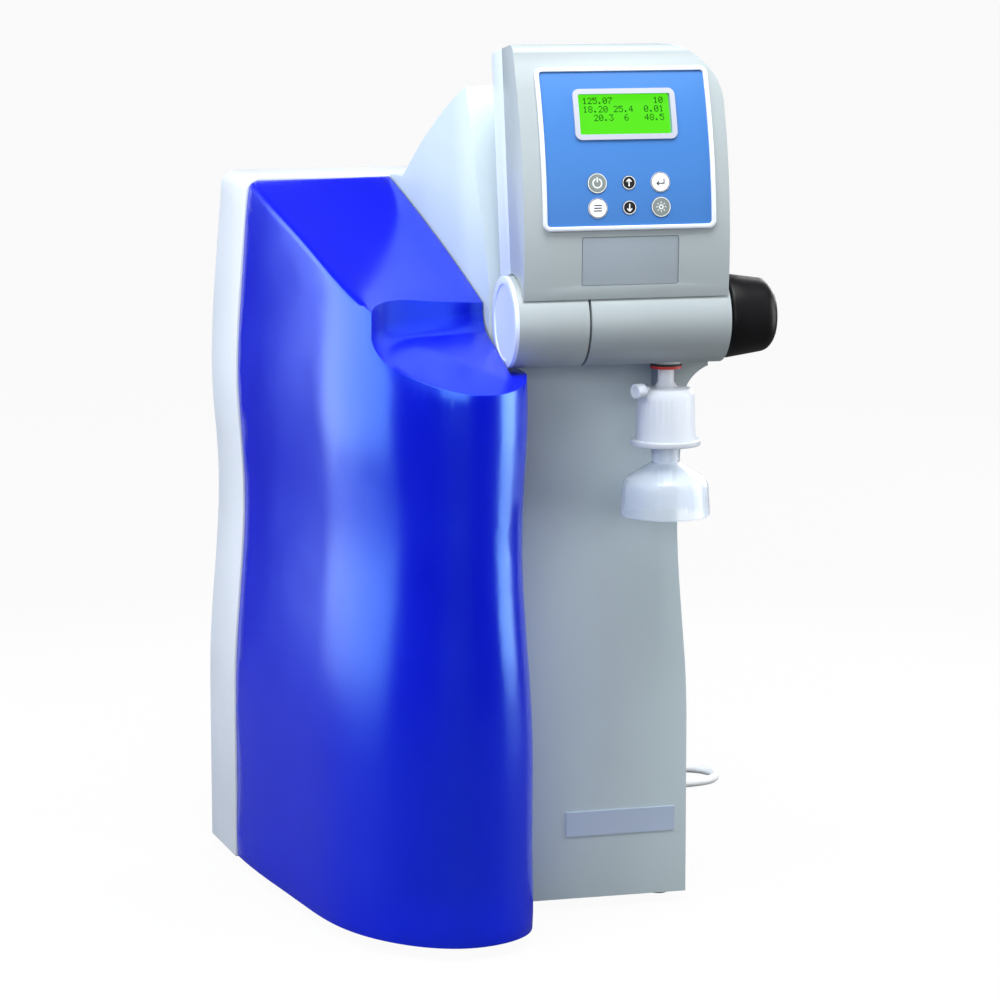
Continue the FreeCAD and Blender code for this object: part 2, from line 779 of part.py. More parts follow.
def make_cover():
    """The translucent door with its two hidden hinge arms and the catch block under the hood."""
    node(feature("Cover", cover_shape()), "cover_shell")
    arms = [arm_shape(size.arm_low), arm_shape(size.arm_high)]
    node(feature("HingeArms", Part.makeCompound(arms)), "hinge_arms")
    catch_left = slant_point(size.seam_depth, 0) - size.catch_width - 4
    catch_front = size.seam_depth - size.cover_gap - size.catch_depth - 1
    catch_foot = Vector(catch_left, catch_front, size.cabinet_top - size.catch_drop)
    block = Part.makeBox(size.catch_width, size.catch_depth, 60, catch_foot)
    block = block.common(cover_solid(size.cover_wall))
    node(feature("Catch", block), "cover_catch")
    posts = []
    inside = cabinet_solid(size.cabinet_wall, size.seam_depth, size.cabinet_back)
    lug_left = -size.pivot_across + size.lug_width / 2 - size.lug_length
    lug_front = size.pivot_depth - size.lug_width / 2
    for height in (size.arm_low, size.arm_high):
        half = size.arm_height / 2
        lugs = []
        for low in (height - half - size.lug_gap - size.lug_height, height + half + size.lug_gap):
            corner = Vector(lug_left, lug_front, low)
            lugs.append(Part.makeBox(size.lug_length, size.lug_width, size.lug_height, corner))
        pin_foot = Vector(-size.pivot_across, size.pivot_depth, height - half - 4)
        pin = Part.makeCylinder(size.pivot_radius, size.arm_height + 8, pin_foot)
        posts.append(pin.fuse(lugs).common(inside))
    node(feature("HingePosts", Part.makeCompound(posts)), "hinge_posts")


# ---------------------------------------------------------------- barrel, valve and outlet


def arm_gusset(belly, front):
    """The lower right corner of the arm, which runs down the side wall in a hollow curve."""
    low = belly - size.arm_drop
    flare = size.arm_flare
    corner = Vector(size.barrel_right, front, low)
    foot = Vector(size.barrel_right - flare, front, low - flare)
    hollow = Vector(foot.x + 0.38 * flare, front, foot.z + 0.6 * flare)
    left = foot.x - flare
    edges = [
        Part.Arc(foot, hollow, corner).toShape(),
        Part.makeLine(corner, Vector(corner.x, front, belly)),
        Part.makeLine(Vector(corner.x, front, belly), Vector(left, front, belly)),
        Part.makeLine(Vector(left, front, belly), Vector(left, front, foot.z)),
        Part.makeLine(Vector(left, front, foot.z), foot),
    ]
    return Part.Face(Part.Wire(edges))


def make_barrel():
    """The fixed right part of the barrel, moulded in one with the arm that carries it on the tower."""
    start = size.barrel_split + size.barrel_gap / 2
    centre = Vector(start, -size.barrel_front, size.barrel_height)
    along = Vector(1, 0, 0)
    down = Vector(0, 0, -1)
    length = size.barrel_right - start
    outlet = Vector(size.outlet_across, -size.barrel_front, size.barrel_height)
    body = Part.makeCylinder(size.barrel_radius, length, centre, along)
    belly = size.barrel_height - size.barrel_radius
    top = size.barrel_height + size.arm_rise
    rear = -size.tower_face + size.arm_wrap
    front = -size.arm_front
    arm = Part.makeBox(length - 4, rear - front, top - belly + 1, Vector(start + 4, front, belly - 1))
    gusset = arm_gusset(belly, front).extrude(Vector(0, rear - front, 0))
    boss = Part.makeCylinder(size.washer_radius, size.barrel_radius, outlet, down)
    arm = arm.fuse([gusset]).cut(tower_solid(0))
    body = body.fuse([arm, boss])
    hollow_start = Vector(start + 6, -size.barrel_front, size.barrel_height)
    spindle_start = Vector(start - 20, -size.barrel_front, size.barrel_height)
    feed_start = Vector(size.outlet_across, -size.barrel_front, size.barrel_height - 9)
    tools = [
        Part.makeCylinder(size.barrel_radius - size.barrel_wall, length, hollow_start, along),
        Part.makeCylinder(size.neck_radius * 0.6, size.barrel_radius * 1.2, outlet, down),
        Part.makeCylinder(size.spindle_radius, 40, spindle_start, along),
        Part.makeCylinder(4, 80, feed_start, Vector(0, 1, 0)),
    ]
    node(feature("Barrel", body.cut(tools).removeSplitter()), "valve_barrel")
    pin = rod("Spindle", "spindle_radius", "barrel_left + barrel_split + 4", "2 - barrel_left",
              "-barrel_front", "barrel_height", "X")
    node(pin, "hinge_spindle")


def make_valve():
    """The dispensing valve: a body in the barrel, a sliding plug and the stem that drives it."""
    block = rod("ValveBlock", "barrel_radius - barrel_wall", "barrel_right - barrel_split - 34",
                "barrel_split + 34", "-barrel_front", "barrel_height", "X")
    bore = rod("PlugBore", "plug_radius + running_clearance", "plug_length + 8",
               "outlet_across - plug_length / 2 - 4", "-barrel_front", "barrel_height", "X")
    gland = rod("GlandBore", "stem_radius + running_clearance", "60", "outlet_across",
                "-barrel_front", "barrel_height", "X")
    port = rod("ValvePort", "neck_radius * 0.6", "barrel_radius", "outlet_across", "-barrel_front",
               "barrel_height - barrel_radius")
    feed = rod("ValveFeed", "4", "barrel_radius", "outlet_across", "-barrel_front", "barrel_height - 9", "Y")
    node(cut("ValveBody", block, group("ValveHoles", bore, gland, port, feed)), "valve_body")
    plug = rod("Plug", "plug_radius", "plug_length", "outlet_across - plug_length / 2",
               "-barrel_front", "barrel_height", "X")
    blind = rod("PlugBlind", "stem_radius + running_clearance", "plug_length - 4",
                "outlet_across - plug_length / 2 + 6", "-barrel_front", "barrel_height", "X")
    node(cut("ValvePlug", plug, blind), "valve_plug")
    stem = rod("Stem", "stem_radius", "barrel_right - outlet_across + knob_gap + 12", "outlet_across",
               "-barrel_front", "barrel_height", "X")
    node(stem, "valve_stem")
    corners = [
        ("stem_radius", "0"),
        ("knob_radius - 2", "0"),
        ("knob_radius", "2"),
        ("knob_tip_radius + 1", "knob_length - 7"),
        ("knob_tip_radius - 1.5", "knob_length - 2.5"),
        ("knob_tip_radius - 5", "knob_length"),
        ("1", "knob_length"),
        ("1", "12"),
        ("stem_radius", "12"),
    ]
    foot = "barrel_right + knob_gap"
    node(turned("flow_knob", corners, foot, "-barrel_front", "barrel_height", lying=True), "flow_knob")


def make_outlet():
    """Washer, red seal, sterile capsule filter with its vent, and the filling bell below."""
    top = "barrel_height - barrel_radius"
    across, depth = "outlet_across", "-barrel_front"
    for name, label, low in (
            ("Washer", "outlet_washer", f"{top} - washer_height"),
            ("Seal", "outlet_seal", f"{top} - 2 * washer_height")):
        node(tube(name, "washer_radius", "neck_radius", "washer_height", across, depth, low), label)
    shell = [
        ("neck_radius - capsule_wall", "capsule_length + neck_length + 2 * washer_height"),
        ("neck_radius - capsule_wall", "capsule_length - capsule_wall"),
        ("capsule_radius - capsule_wall - 2", "capsule_length - capsule_wall - 1"),
        ("capsule_radius - capsule_wall", "0"),
        ("capsule_radius", "0"),
        ("capsule_radius - 1", "capsule_length - 4"),
        ("capsule_radius - 3", "capsule_length - 1"),
        ("neck_radius + 2", "capsule_length"),
        ("neck_radius", "capsule_length + 3"),
        ("neck_radius", "capsule_length + neck_length + 2 * washer_height"),
    ]
    seat = f"{top} - 2 * washer_height - neck_length - capsule_length"
    turn = math.radians(size.vent_turn)
    outward = Vector(math.cos(turn), math.sin(turn), 0)
    middle = Vector(value(across), value(depth), value(seat) + size.capsule_length - 1)
    stub = Part.makeCylinder(size.stub_radius, 10, middle + outward * (size.capsule_radius - 4), outward)
    body = turned("CapsuleBody", shell, across, depth, seat)
    node(fuse("CapsuleShell", body, feature("VentStub", stub)), "capsule_shell")
    vent_start = middle + outward * (size.capsule_radius + 0.5)
    bore_start = middle + outward * size.capsule_radius
    vent = Part.makeCylinder(size.vent_radius, size.vent_length, vent_start, outward)
    bore = Part.makeCylinder(size.stub_radius + size.running_clearance, 7, bore_start, outward)
    node(feature("VentPlug", vent.cut(bore)), "vent_plug")
    element = tube("Element", "capsule_radius - capsule_wall - 3", "neck_radius", "capsule_length - 6",
                   across, depth, seat)
    node(element, "capsule_element")
    base = [
        ("neck_radius * 0.5", "0"),
        ("flange_radius", "0"),
        ("flange_radius", "-flange_height"),
        ("bell_neck_radius - bell_wall", "-flange_height"),
        ("bell_neck_radius - bell_wall", "-flange_height - bell_neck_length"),
        ("neck_radius", "-flange_height - bell_neck_length - 1"),
        ("neck_radius - 1", "-flange_height - bell_neck_length - 14"),
        ("neck_radius * 0.5", "-flange_height - bell_neck_length - 14"),
    ]
    node(turned("capsule_base", base, across, depth, seat), "capsule_base")
    shoulder = "-bell_neck_length - bell_cone"
    wall_head = "bell_radius - bell_flare"
    bell = [
        ("bell_neck_radius - bell_wall", "0"),
        ("bell_neck_radius", "0"),
        ("bell_neck_radius", "-bell_neck_length"),
        ("bell_radius - 5", shoulder),
        (f"{wall_head} - 1.6", f"{shoulder} - bell_corner * 0.35"),
        (f"{wall_head} - 0.4", f"{shoulder} - bell_corner * 0.7"),
        (wall_head, f"{shoulder} - bell_corner"),
        ("bell_radius", "-bell_length"),
        ("bell_radius - bell_wall", "-bell_length"),
        (f"{wall_head} - bell_wall", f"{shoulder} - bell_corner"),
        (f"{wall_head} - 2 - bell_wall", f"{shoulder} - bell_corner * 0.35 - 0.6"),
        ("bell_radius - 5.6 - bell_wall", f"{shoulder} - bell_wall"),
        ("bell_neck_radius - bell_wall", "-bell_neck_length - bell_wall"),
    ]
    node(turned("filling_bell", bell, across, depth, f"{seat} - flange_height"), "filling_bell")


# ---------------------------------------------------------------- display head


def head_face(inset):
    """The head seen from the side, in its upright frame on the barrel axis."""
    under = size.barrel_radius + size.head_gap + inset
    back = size.head_back - inset
    lip = size.head_lip - inset
    top = size.head_top - inset
    round_top = 7.0
    bow = round_top * (1 - math.sqrt(0.5))
    brow = lip - 1
    back_foot = Vector(0, back, math.sqrt(under ** 2 - back ** 2))
    lip_foot = Vector(0, -lip, math.sqrt(under ** 2 - lip ** 2))
    back_head = Vector(0, back, top - 2)
    back_top = Vector(0, back - 2, top)
    front_top = Vector(0, -brow + round_top, top)
    front_head = Vector(0, -brow, top - round_top)
    bulge = Vector(0, -size.head_bulge + inset, size.head_bulge_height)
    edges = [
        Part.makeLine(back_foot, back_head),
        Part.makeLine(back_head, back_top),
        Part.makeLine(back_top, front_top),
        Part.Arc(front_top, Vector(0, -brow + bow, top - bow), front_head).toShape(),
        Part.Arc(front_head, bulge, lip_foot).toShape(),
        Part.Arc(lip_foot, Vector(0, 0, under), back_foot).toShape(),
    ]
    return Part.Face(Part.Wire(edges))


def head_front(inset):
    """The head seen from the front: a large round at its upper right corner."""
    left = -size.head_left + inset
    right = size.head_right - inset
    top = size.head_top - inset
    corner = size.head_shoulder
    bow = corner * (1 - math.sqrt(0.5))
    top_end = Vector(right - corner, 0, top)
    side_end = Vector(right, 0, top - corner)
    edges = [
        Part.makeLine(Vector(left, 0, 0), Vector(left, 0, top)),
        Part.makeLine(Vector(left, 0, top), top_end),
        Part.Arc(top_end, Vector(right - bow, 0, top - bow), side_end).toShape(),
        Part.makeLine(side_end, Vector(right, 0, 0)),
        Part.makeLine(Vector(right, 0, 0), Vector(left, 0, 0)),
    ]
    face = Part.Face(Part.Wire(edges))
    face.translate(Vector(0, -100, 0))
    return face.extrude(Vector(0, 200, 0))


def head_solid(inset):
    side = head_face(inset)
    side.translate(Vector(-100, 0, 0))
    return side.extrude(Vector(300, 0, 0)).common(head_front(inset))


def on_head(item, label):
    """Seats a piece drawn in the head's upright frame on the barrel axis, leaning back by the tilt."""
    item.Placement = FreeCAD.Placement(Vector(), FreeCAD.Rotation(Vector(1, 0, 0), -size.head_tilt))
    item.setExpression("Placement.Rotation.Angle", "-" + formula("head_tilt"))
    item.Placement.Rotation.Axis = Vector(1, 0, 0)
    place(item, "0", "-barrel_front", "barrel_height")
    return node(item, label)


def skin(low, high):
    """The layer between two heights over the curved front of the head."""
    top = Vector(0, 1 - size.head_lip, size.head_top - 7)
    bulge = Vector(0, -size.head_bulge, size.head_bulge_height)
    lip = Vector(0, -size.head_lip, math.sqrt((size.barrel_radius + size.head_gap) ** 2 - size.head_lip ** 2))
    bow = Part.Arc(top, bulge, lip).toShape().Curve
    start = Vector(-200, bow.Center.y, bow.Center.z)
    along = Vector(1, 0, 0)
    outer = Part.makeCylinder(bow.Radius + high, 400, start, along)
    inner = Part.makeCylinder(bow.Radius + low, 400, start, along)
    return outer.cut(inner).common(Part.makeBox(400, 100, 300, Vector(-200, -115, 0)))


def face_prism(across, middle, width, height, rounding, grow=0.0):
    """A block through the control face, with round corners, that cuts a patch out of a layer."""
    wide = width + 2 * grow
    tall = height + 2 * grow
    block = Part.makeBox(wide, 100, tall, Vector(across - wide / 2, -100, middle - tall / 2))
    corners = [edge for edge in block.Edges if edge.BoundBox.XLength < 0.01 and edge.BoundBox.ZLength < 0.01]
    return block.makeFillet(rounding + grow, corners)


def key_spots():
    """Name, place and radius of each key on the control face."""
    spots = []
    names = (("menu_key", "down_key", "lamp_key"), ("power_key", "up_key", "enter_key"))
    for line, row in enumerate(names):
        for column, label in enumerate(row):
            across = size.face_centre + size.key_shift + (column - 1) * size.key_pitch
            height = size.key_middle + (line - 0.5) * size.key_rise
            radius = size.arrow_radius if column == 1 else size.key_radius
            spots.append((label, across, height, radius))
    return spots


def make_head():
    """Front and rear shells of the head, its hinge barrel and end cap."""
    shell = head_solid(0).cut(head_solid(size.head_wall))
    front = shell.common(Part.makeBox(400, 100, 300, Vector(-200, -100, -50)))
    rear = shell.common(Part.makeBox(400, 100, 300, Vector(-200, 0, -50)))
    window = face_prism(size.face_centre, size.screen_middle, size.screen_width, size.screen_height, 1)
    recess = face_prism(size.badge_across, size.badge_middle, size.badge_width, size.badge_height, 1, 0.5)
    recess = recess.common(skin(-1.2, 5))
    on_head(feature("HeadFront", front.cut([window, recess]).removeSplitter()), "display_front_shell")
    on_head(feature("HeadRear", rear), "display_rear_shell")
    along = Vector(1, 0, 0)
    start = -size.barrel_left + size.cap_thickness
    sleeve_length = size.barrel_split - size.barrel_gap / 2 - start
    sleeve = Part.makeCylinder(size.barrel_radius, sleeve_length, Vector(start, 0, 0), along)
    hollow = Part.makeCylinder(size.barrel_radius - size.barrel_wall, 28, Vector(start, 0, 0), along)
    bore = Part.makeCylinder(size.spindle_radius + size.running_clearance, 80, Vector(-40, 0, 0), along)
    neck = Part.makeBox(34, 24, 12, Vector(-size.head_left + 2, -12, size.barrel_radius - 8))
    neck = neck.cut([head_solid(0), Part.makeCylinder(size.barrel_radius - 1, 100, Vector(-40, 0, 0), along)])
    neck = neck.common(Part.makeCylinder(size.barrel_radius + size.head_gap, 100, Vector(-40, 0, 0), along))
    sleeve = sleeve.cut(hollow).fuse(neck).cut(bore)
    on_head(feature("HeadBarrel", sleeve.removeSplitter()), "head_barrel")
    face = Vector(-size.barrel_left, 0, 0)
    cap = Part.makeCylinder(size.barrel_radius, size.cap_thickness, face, along)
    cap = cap.cut(Part.makeCylinder(size.barrel_radius - size.cap_rim, size.cap_recess, face, along))
    seat = Vector(2 - size.barrel_left, 0, 0)
    cap = cap.cut(Part.makeCylinder(size.spindle_radius + size.running_clearance, 40, seat, along))
    on_head(feature("EndCap", cap), "barrel_end_cap")


def make_control_face():
    """Bezel, overlay, screen, badge plate, board and six keys of the display head."""
    middle = size.face_foot + size.face_height / 2
    rim = face_prism(size.face_centre, middle, size.face_width, size.face_height, size.face_round)
    well = face_prism(size.face_centre, middle, size.face_width, size.face_height, size.face_round,
                      -size.face_frame)
    on_head(feature("Bezel", skin(0, size.face_proud).common(rim.cut(well))), "display_bezel")
    window = face_prism(size.face_centre, size.screen_middle, size.screen_width, size.screen_height, 1)
    ring = face_prism(size.face_centre, size.screen_middle, size.screen_width, size.screen_height, 1,
                      size.screen_frame)
    holes = [window]
    for label, across, height, radius in key_spots():
        spot = Vector(across, -100, height)
        key = Part.makeCylinder(radius, 100, spot, Vector(0, 1, 0))
        on_head(feature(label + "_body", skin(size.key_lift, size.key_proud).common(key)), label)
        holes.append(Part.makeCylinder(radius + size.key_clearance, 100, spot, Vector(0, 1, 0)))
    overlay = skin(size.film_gap, size.overlay_thickness).common(well).cut(holes)
    on_head(feature("Overlay", overlay), "keypad_overlay")
    frame = skin(size.overlay_thickness, size.face_proud - 0.2).common(ring.cut(window))
    on_head(feature("ScreenFrame", frame), "lcd_frame")
    wall = size.head_bulge - size.head_wall
    edge = 3
    screen_left = size.face_centre - size.screen_width / 2 - edge
    screen_foot = size.screen_middle - size.screen_height / 2 - edge
    screen = Part.makeBox(size.screen_width + 2 * edge, 6, size.screen_height + 2 * edge,
                          Vector(screen_left, -wall - 0.5, screen_foot))
    screen = screen.common(head_solid(size.head_wall).fuse(window.common(head_solid(1.6))))
    on_head(feature("Screen", screen), "lcd_screen")
    board = Part.makeBox(88, 1.6, 84, Vector(size.face_centre - 44, -wall + 5.5, size.face_foot))
    on_head(feature("Board", board.common(head_solid(size.head_wall))), "display_board")
    plate = face_prism(size.badge_across, size.badge_middle, size.badge_width, size.badge_height, 0.8)
    on_head(feature("Badge", skin(-1.2, -0.4).common(plate)), "blank_plate")


# ---------------------------------------------------------------- water train


def make_tank():
    """The feed tank on its legs, with lid, level float and vent filter."""
    outer = box("TankOuter", "-tank_left", "-tank_front", "tank_foot",
                "tank_width", "tank_depth", "tank_height")
    inner = box("TankInner", "tank_wall - tank_left", "tank_wall - tank_front", "tank_foot + tank_wall",
                "tank_width - 2 * tank_wall", "tank_depth - 2 * tank_wall", "tank_height")
    legs = []
    for column in ("10 - tank_left", "tank_width - tank_left - 10"):
        for line in ("10 - tank_front", "tank_depth - tank_front - 10"):
            legs.append(rod(f"Leg{len(legs)}", "8", "tank_foot - floor_height", column, line, "floor_height"))
    node(cut("Tank", fuse("TankBody", outer, *legs), inner), "feed_tank")
    lid = box("Lid", "-tank_left", "-tank_front", "tank_foot + tank_height",
              "tank_width", "tank_depth", "lid_thickness")
    node(lid, "tank_lid")
    centre = "tank_width / 2 - tank_left"
    stem = rod("FloatStem", "3", "tank_height - tank_wall", centre, "20", "tank_foot + tank_wall")
    node(stem, "float_stem")
    ring = tube("Float", "float_radius", "3 + running_clearance", "float_height", centre, "20", "float_level")
    node(ring, "level_float")
    vent = rod("VentBody", "18", "34", centre, "70", "tank_foot + tank_height + lid_thickness")
    node(vent, "vent_filter")


def make_pump():
    """Booster pump under the tank: a motor on a saddle, a pump head and the suction pipe."""
    axis = "floor_height + pump_axis"
    motor = rod("Motor", "motor_radius", "motor_length", "pump_across", "pump_split", axis, "Y")
    saddle = box("Saddle", "pump_across - 18", "pump_split + 8", "floor_height",
                 "36", "motor_length - 16", "pump_axis - 14")
    node(fuse("PumpMotor", motor, saddle), "pump_motor")
    head = rod("PumpHead", "pump_radius", "pump_length", "pump_across", "pump_split - pump_length", axis, "Y")
    node(head, "pump_head")
    middle = "pump_split - pump_length / 2"
    pipe = rod("SuctionRod", "4", f"tank_foot - ({axis})", "pump_across", middle, axis)
    node(cut("SuctionPipe", pipe, head), "suction_pipe")


def make_cartridges():
    """Softening and polishing cartridges, ultrafilter and their manifold, and the lamp reactor behind."""
    for label, radius, across, depth in (
            ("polishing_cartridge", "polisher_radius", "-polisher_across", "polisher_back"),
            ("softening_cartridge", "softener_radius", "-softener_across", "-softener_front")):
        corners = [
            ("0", "0"),
            (radius + " - 3", "0"),
            (radius, "3"),
            (radius, "cartridge_length - 18"),
            (radius + " - 12", "cartridge_length - 10"),
            (radius + " - 12", "cartridge_length"),
            ("0", "cartridge_length"),
        ]
        node(turned(label, corners, across, depth, "floor_height"), label)
    manifold = box("Manifold", "-polisher_across - 18", "-softener_front - 14",
                   "floor_height + cartridge_length", "56", "seam_depth + softener_front + 15",
                   "manifold_height")
    node(manifold, "cartridge_manifold")
    filter_foot = "floor_height + cartridge_length - ultrafilter_length"
    ultrafilter = rod("Ultrafilter", "ultrafilter_radius", "ultrafilter_length", "-ultrafilter_across",
                      "seam_depth + 0.7 - ultrafilter_radius", filter_foot)
    node(ultrafilter, "ultrafilter")
    reactor = rod("Reactor", "reactor_radius", "reactor_length", "-reactor_across",
                  "seam_depth + 3.3 + reactor_radius", "reactor_foot")
    node(reactor, "lamp_reactor")


def make_board():
    """Control board on four stand-offs in front of the rear panel."""
    plate = box("BoardPlate", "-board_left", "board_front", "board_foot",
                "board_width", "board_thickness", "board_height")
    columns = ("board_margin - board_left", "board_width - board_left - board_margin")
    rows = ("board_foot + board_margin", "board_foot + board_height - board_margin")
    posts = []
    for across in columns:
        for height in rows:
            name = f"Standoff{len(posts)}"
            posts.append(rod(name, "3", "standoff_length", across, "board_front", height, "Y"))
    block = box("Transformer", "20", "board_front - transformer_depth", "board_foot + 60",
                "transformer_width", "transformer_depth", "transformer_height")
    node(fuse("ControlBoard", plate, block, *posts), "control_board")


def bent_path(points, bend=None):
    """Straight runs joined by tangent arcs; each arc is as large as its two runs allow."""
    edges = []
    start = points[0]
    radii = []
    for before, corner, after in zip(points, points[1:], points[2:]):
        into = (corner - before).normalize()
        out = (after - corner).normalize()
        turn = into.getAngle(out)
        run = min((corner - before).Length, (after - corner).Length)
        setback = 0.45 * run
        radius = setback / math.tan(turn / 2)
        if bend is not None:
            radius = min(radius, bend)
            setback = radius * math.tan(turn / 2)
        radii.append(radius)
        first = corner - into * setback
        last = corner + out * setback
        inward = (out - into).normalize()
        centre = corner + inward * (radius / math.cos(turn / 2))
        middle = centre - inward * radius
        edges.append(Part.makeLine(start, first))
        edges.append(Part.Arc(first, middle, last).toShape())
        start = last
    edges.append(Part.makeLine(start, points[-1]))
    return Part.Wire(edges), radii


def swept(points, radius, bend=None):
    """A round tube swept along a bent path."""
    path, radii = bent_path(points, bend)
    ring = Part.Wire(Part.makeCircle(radius, points[0], points[1] - points[0]))
    solid = path.makePipeShell([ring], True, False)
    share = solid.Volume / (math.pi * radius ** 2 * path.Length)
    print("tube radii", [round(number, 1) for number in radii], "length", round(path.Length))
    print("volume share", round(share, 4))
    return solid


def make_feed_pipe():
    """The pipe from the lamp reactor over the tank lid to the valve."""
    high = size.pipe_height
    reactor_back = size.seam_depth + 3.3 + size.reactor_radius
    front = -size.tower_face + size.cabinet_wall + 9
    level = size.barrel_height - 9
    points = [
        Vector(-size.reactor_across, reactor_back, size.reactor_foot + size.reactor_length),
        Vector(-size.reactor_across, reactor_back, high),
        Vector(size.outlet_across, reactor_back, high),
        Vector(size.outlet_across, front, high),
        Vector(size.outlet_across, front, level),
        Vector(size.outlet_across, -size.barrel_front + size.barrel_radius - size.barrel_wall, level),
    ]
    node(feature("FeedPipe", swept(points, 3.175, 8)), "feed_pipe")


# ---------------------------------------------------------------- feed tube on the bench


def tube_points():
    """The route of the supply tube from the rear fitting to its coil on the bench."""
    return [
        Vector(25, 155, 90),
        Vector(25, 183, 87),
        Vector(32, 204, 66),
        Vector(47, 216, 34),
        Vector(76, 222, 9),
        Vector(116, 224, 3.5),
        Vector(154, 223, 3.5),
        Vector(189, 221, 3.5),
        Vector(222, 223, 3.5),
        Vector(235, 236, 3.5),
        Vector(235, 254, 3.5),
        Vector(222, 267, 3.5),
        Vector(187, 270, 3.5),
        Vector(150, 278, 3.5),
        Vector(112, 292, 3.5),
        Vector(68, 300, 3.5),
        Vector(30, 321, 3.5),
    ]


def make_tube():
    """The loose tube and its coil, both resting on the bench."""
    points = tube_points()
    node(feature("SupplyTube", swept(points, size.tube_radius)), "supply_tube")
    outer = size.coil_turn_radius + size.tube_radius
    heading = (points[-1] - points[-2]).normalize()
    inward = Vector(-heading.y, heading.x, 0)
    reach = outer + size.tube_radius + size.running_clearance
    centre = Vector(points[-1].x, points[-1].y, 0) + inward * reach
    height = 6 * size.tube_radius + 0.3
    bore = Part.makeCylinder(outer - 4 * size.tube_radius, height, centre)
    coil = Part.makeCylinder(outer, height, centre).cut(bore)
    node(feature("TubeCoil", coil), "tube_coil")


# ---------------------------------------------------------------- build and export

make_base()
make_tower()
make_rear_housing()
make_rear_panel()
make_bulkhead()
make_cover()
make_barrel()
make_valve()
make_outlet()
make_head()
make_control_face()
make_tank()
make_pump()
make_cartridges()
make_board()
make_feed_pipe()
make_tube()
doc.recompute()

for item in doc.Objects:
    if "Invalid" in item.State or "Error" in item.State:
        raise RuntimeError(f"{item.Name} ({item.Label}) is {item.State}")

os.makedirs("parts", exist_ok=True)
for label, item in nodes.items():
    shape = item.Shape
    if shape.isNull() or not shape.isValid() or not shape.Solids:
        raise RuntimeError(f"{label} has no valid solid")
    shape.exportStep(os.path.join("parts", label + ".step"))
    print(label, len(shape.Solids), round(shape.Volume))
print(len(nodes), "nodes")
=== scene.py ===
# %% [markdown]
# # A bench water purifier
# The object is a white and grey cabinet with a blue translucent door, a tilting display head on a
# round barrel, a black knob, and a filter capsule with a clear bell under it. All sizes come from
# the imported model, which is loaded first. Everything here is in metres, in the same frame.
# Shells that need soft edges are copied, merged and bevelled, because a moulded edge is never
# sharp; flat trim keeps its own mesh and only gets a better finish.

import bpy
import bmesh
import json
import math
from mathutils import Matrix, Vector
from mathutils.bvhtree import BVHTree

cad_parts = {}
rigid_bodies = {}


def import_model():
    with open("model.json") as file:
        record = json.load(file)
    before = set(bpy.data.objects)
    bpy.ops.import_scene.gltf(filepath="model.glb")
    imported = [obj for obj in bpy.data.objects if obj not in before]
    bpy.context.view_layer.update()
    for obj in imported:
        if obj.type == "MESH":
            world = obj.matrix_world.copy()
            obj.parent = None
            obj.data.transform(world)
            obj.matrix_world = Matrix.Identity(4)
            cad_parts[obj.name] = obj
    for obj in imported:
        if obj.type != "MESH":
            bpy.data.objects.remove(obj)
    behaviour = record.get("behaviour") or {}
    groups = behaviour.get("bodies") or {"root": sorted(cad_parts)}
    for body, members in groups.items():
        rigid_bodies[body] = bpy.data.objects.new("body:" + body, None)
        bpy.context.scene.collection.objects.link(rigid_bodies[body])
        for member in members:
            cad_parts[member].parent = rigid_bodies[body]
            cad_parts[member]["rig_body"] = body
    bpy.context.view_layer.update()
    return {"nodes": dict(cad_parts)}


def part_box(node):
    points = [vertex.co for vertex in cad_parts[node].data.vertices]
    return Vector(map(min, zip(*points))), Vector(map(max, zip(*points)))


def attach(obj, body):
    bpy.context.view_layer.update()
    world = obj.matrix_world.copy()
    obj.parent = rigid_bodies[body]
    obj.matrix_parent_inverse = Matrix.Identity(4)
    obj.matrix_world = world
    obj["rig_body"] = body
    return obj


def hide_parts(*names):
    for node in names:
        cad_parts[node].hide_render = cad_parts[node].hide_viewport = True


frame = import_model()
nodes = frame["nodes"]
scene = bpy.context.scene
scene.view_settings.view_transform = "Standard"
MM = 0.001

# %% Two helpers for new pieces


def placed(name, data):
    """An object for some data, linked to the scene; it stays at the origin."""
    item = bpy.data.objects.new(name, data)
    scene.collection.objects.link(item)
    return item


def mesh_of(name, work):
    """A mesh made from a BMesh, which is freed."""
    mesh = bpy.data.meshes.new(name)
    work.to_mesh(mesh)
    work.free()
    return mesh


# %% [markdown]
# ## The camera
# A long lens, a little above the head and to the left. A long lens keeps the sides of the cabinet
# nearly parallel, so that its proportions can be judged by eye. The camera could be aimed with a
# Track To constraint; plain angles are easier to check against the frame.

# %% Camera
LENS = 133.2
SENSOR_WIDTH = 36
CAMERA_PLACE = (-0.5954, -2.2536, 0.6430)
CAMERA_TILT = math.radians(80.55)
CAMERA_TURN = math.radians(-15)
camera_data = bpy.data.cameras.new("camera")
camera_data.lens = LENS
camera_data.sensor_width = SENSOR_WIDTH
camera = placed("camera", camera_data)
camera.location = CAMERA_PLACE
camera.rotation_euler = (CAMERA_TILT, 0, CAMERA_TURN)
scene.camera = camera
print("camera lens", camera_data.lens, "mm")

# %% [markdown]
# ## The supply tube
# A soft quarter-inch tube leaves the lowest rear fitting, drops to the bench, comes round beside
# the cabinet in one loose hairpin and goes back behind it, where the rest is put away in a round
# coil of five turns. It could be a mesh swept along a path, but a single NURBS spline bends
# smoothly through few points and knows its own length. Its control points are the chosen points
# of the route, and the turns of the coil are more control points of the same spline: sixteen for
# each turn, placed by a loop. A bevel gives the spline its round section. Its depth is one and the
# points carry the tube's radius, because a curve's bounding box grows by the radius of its points.

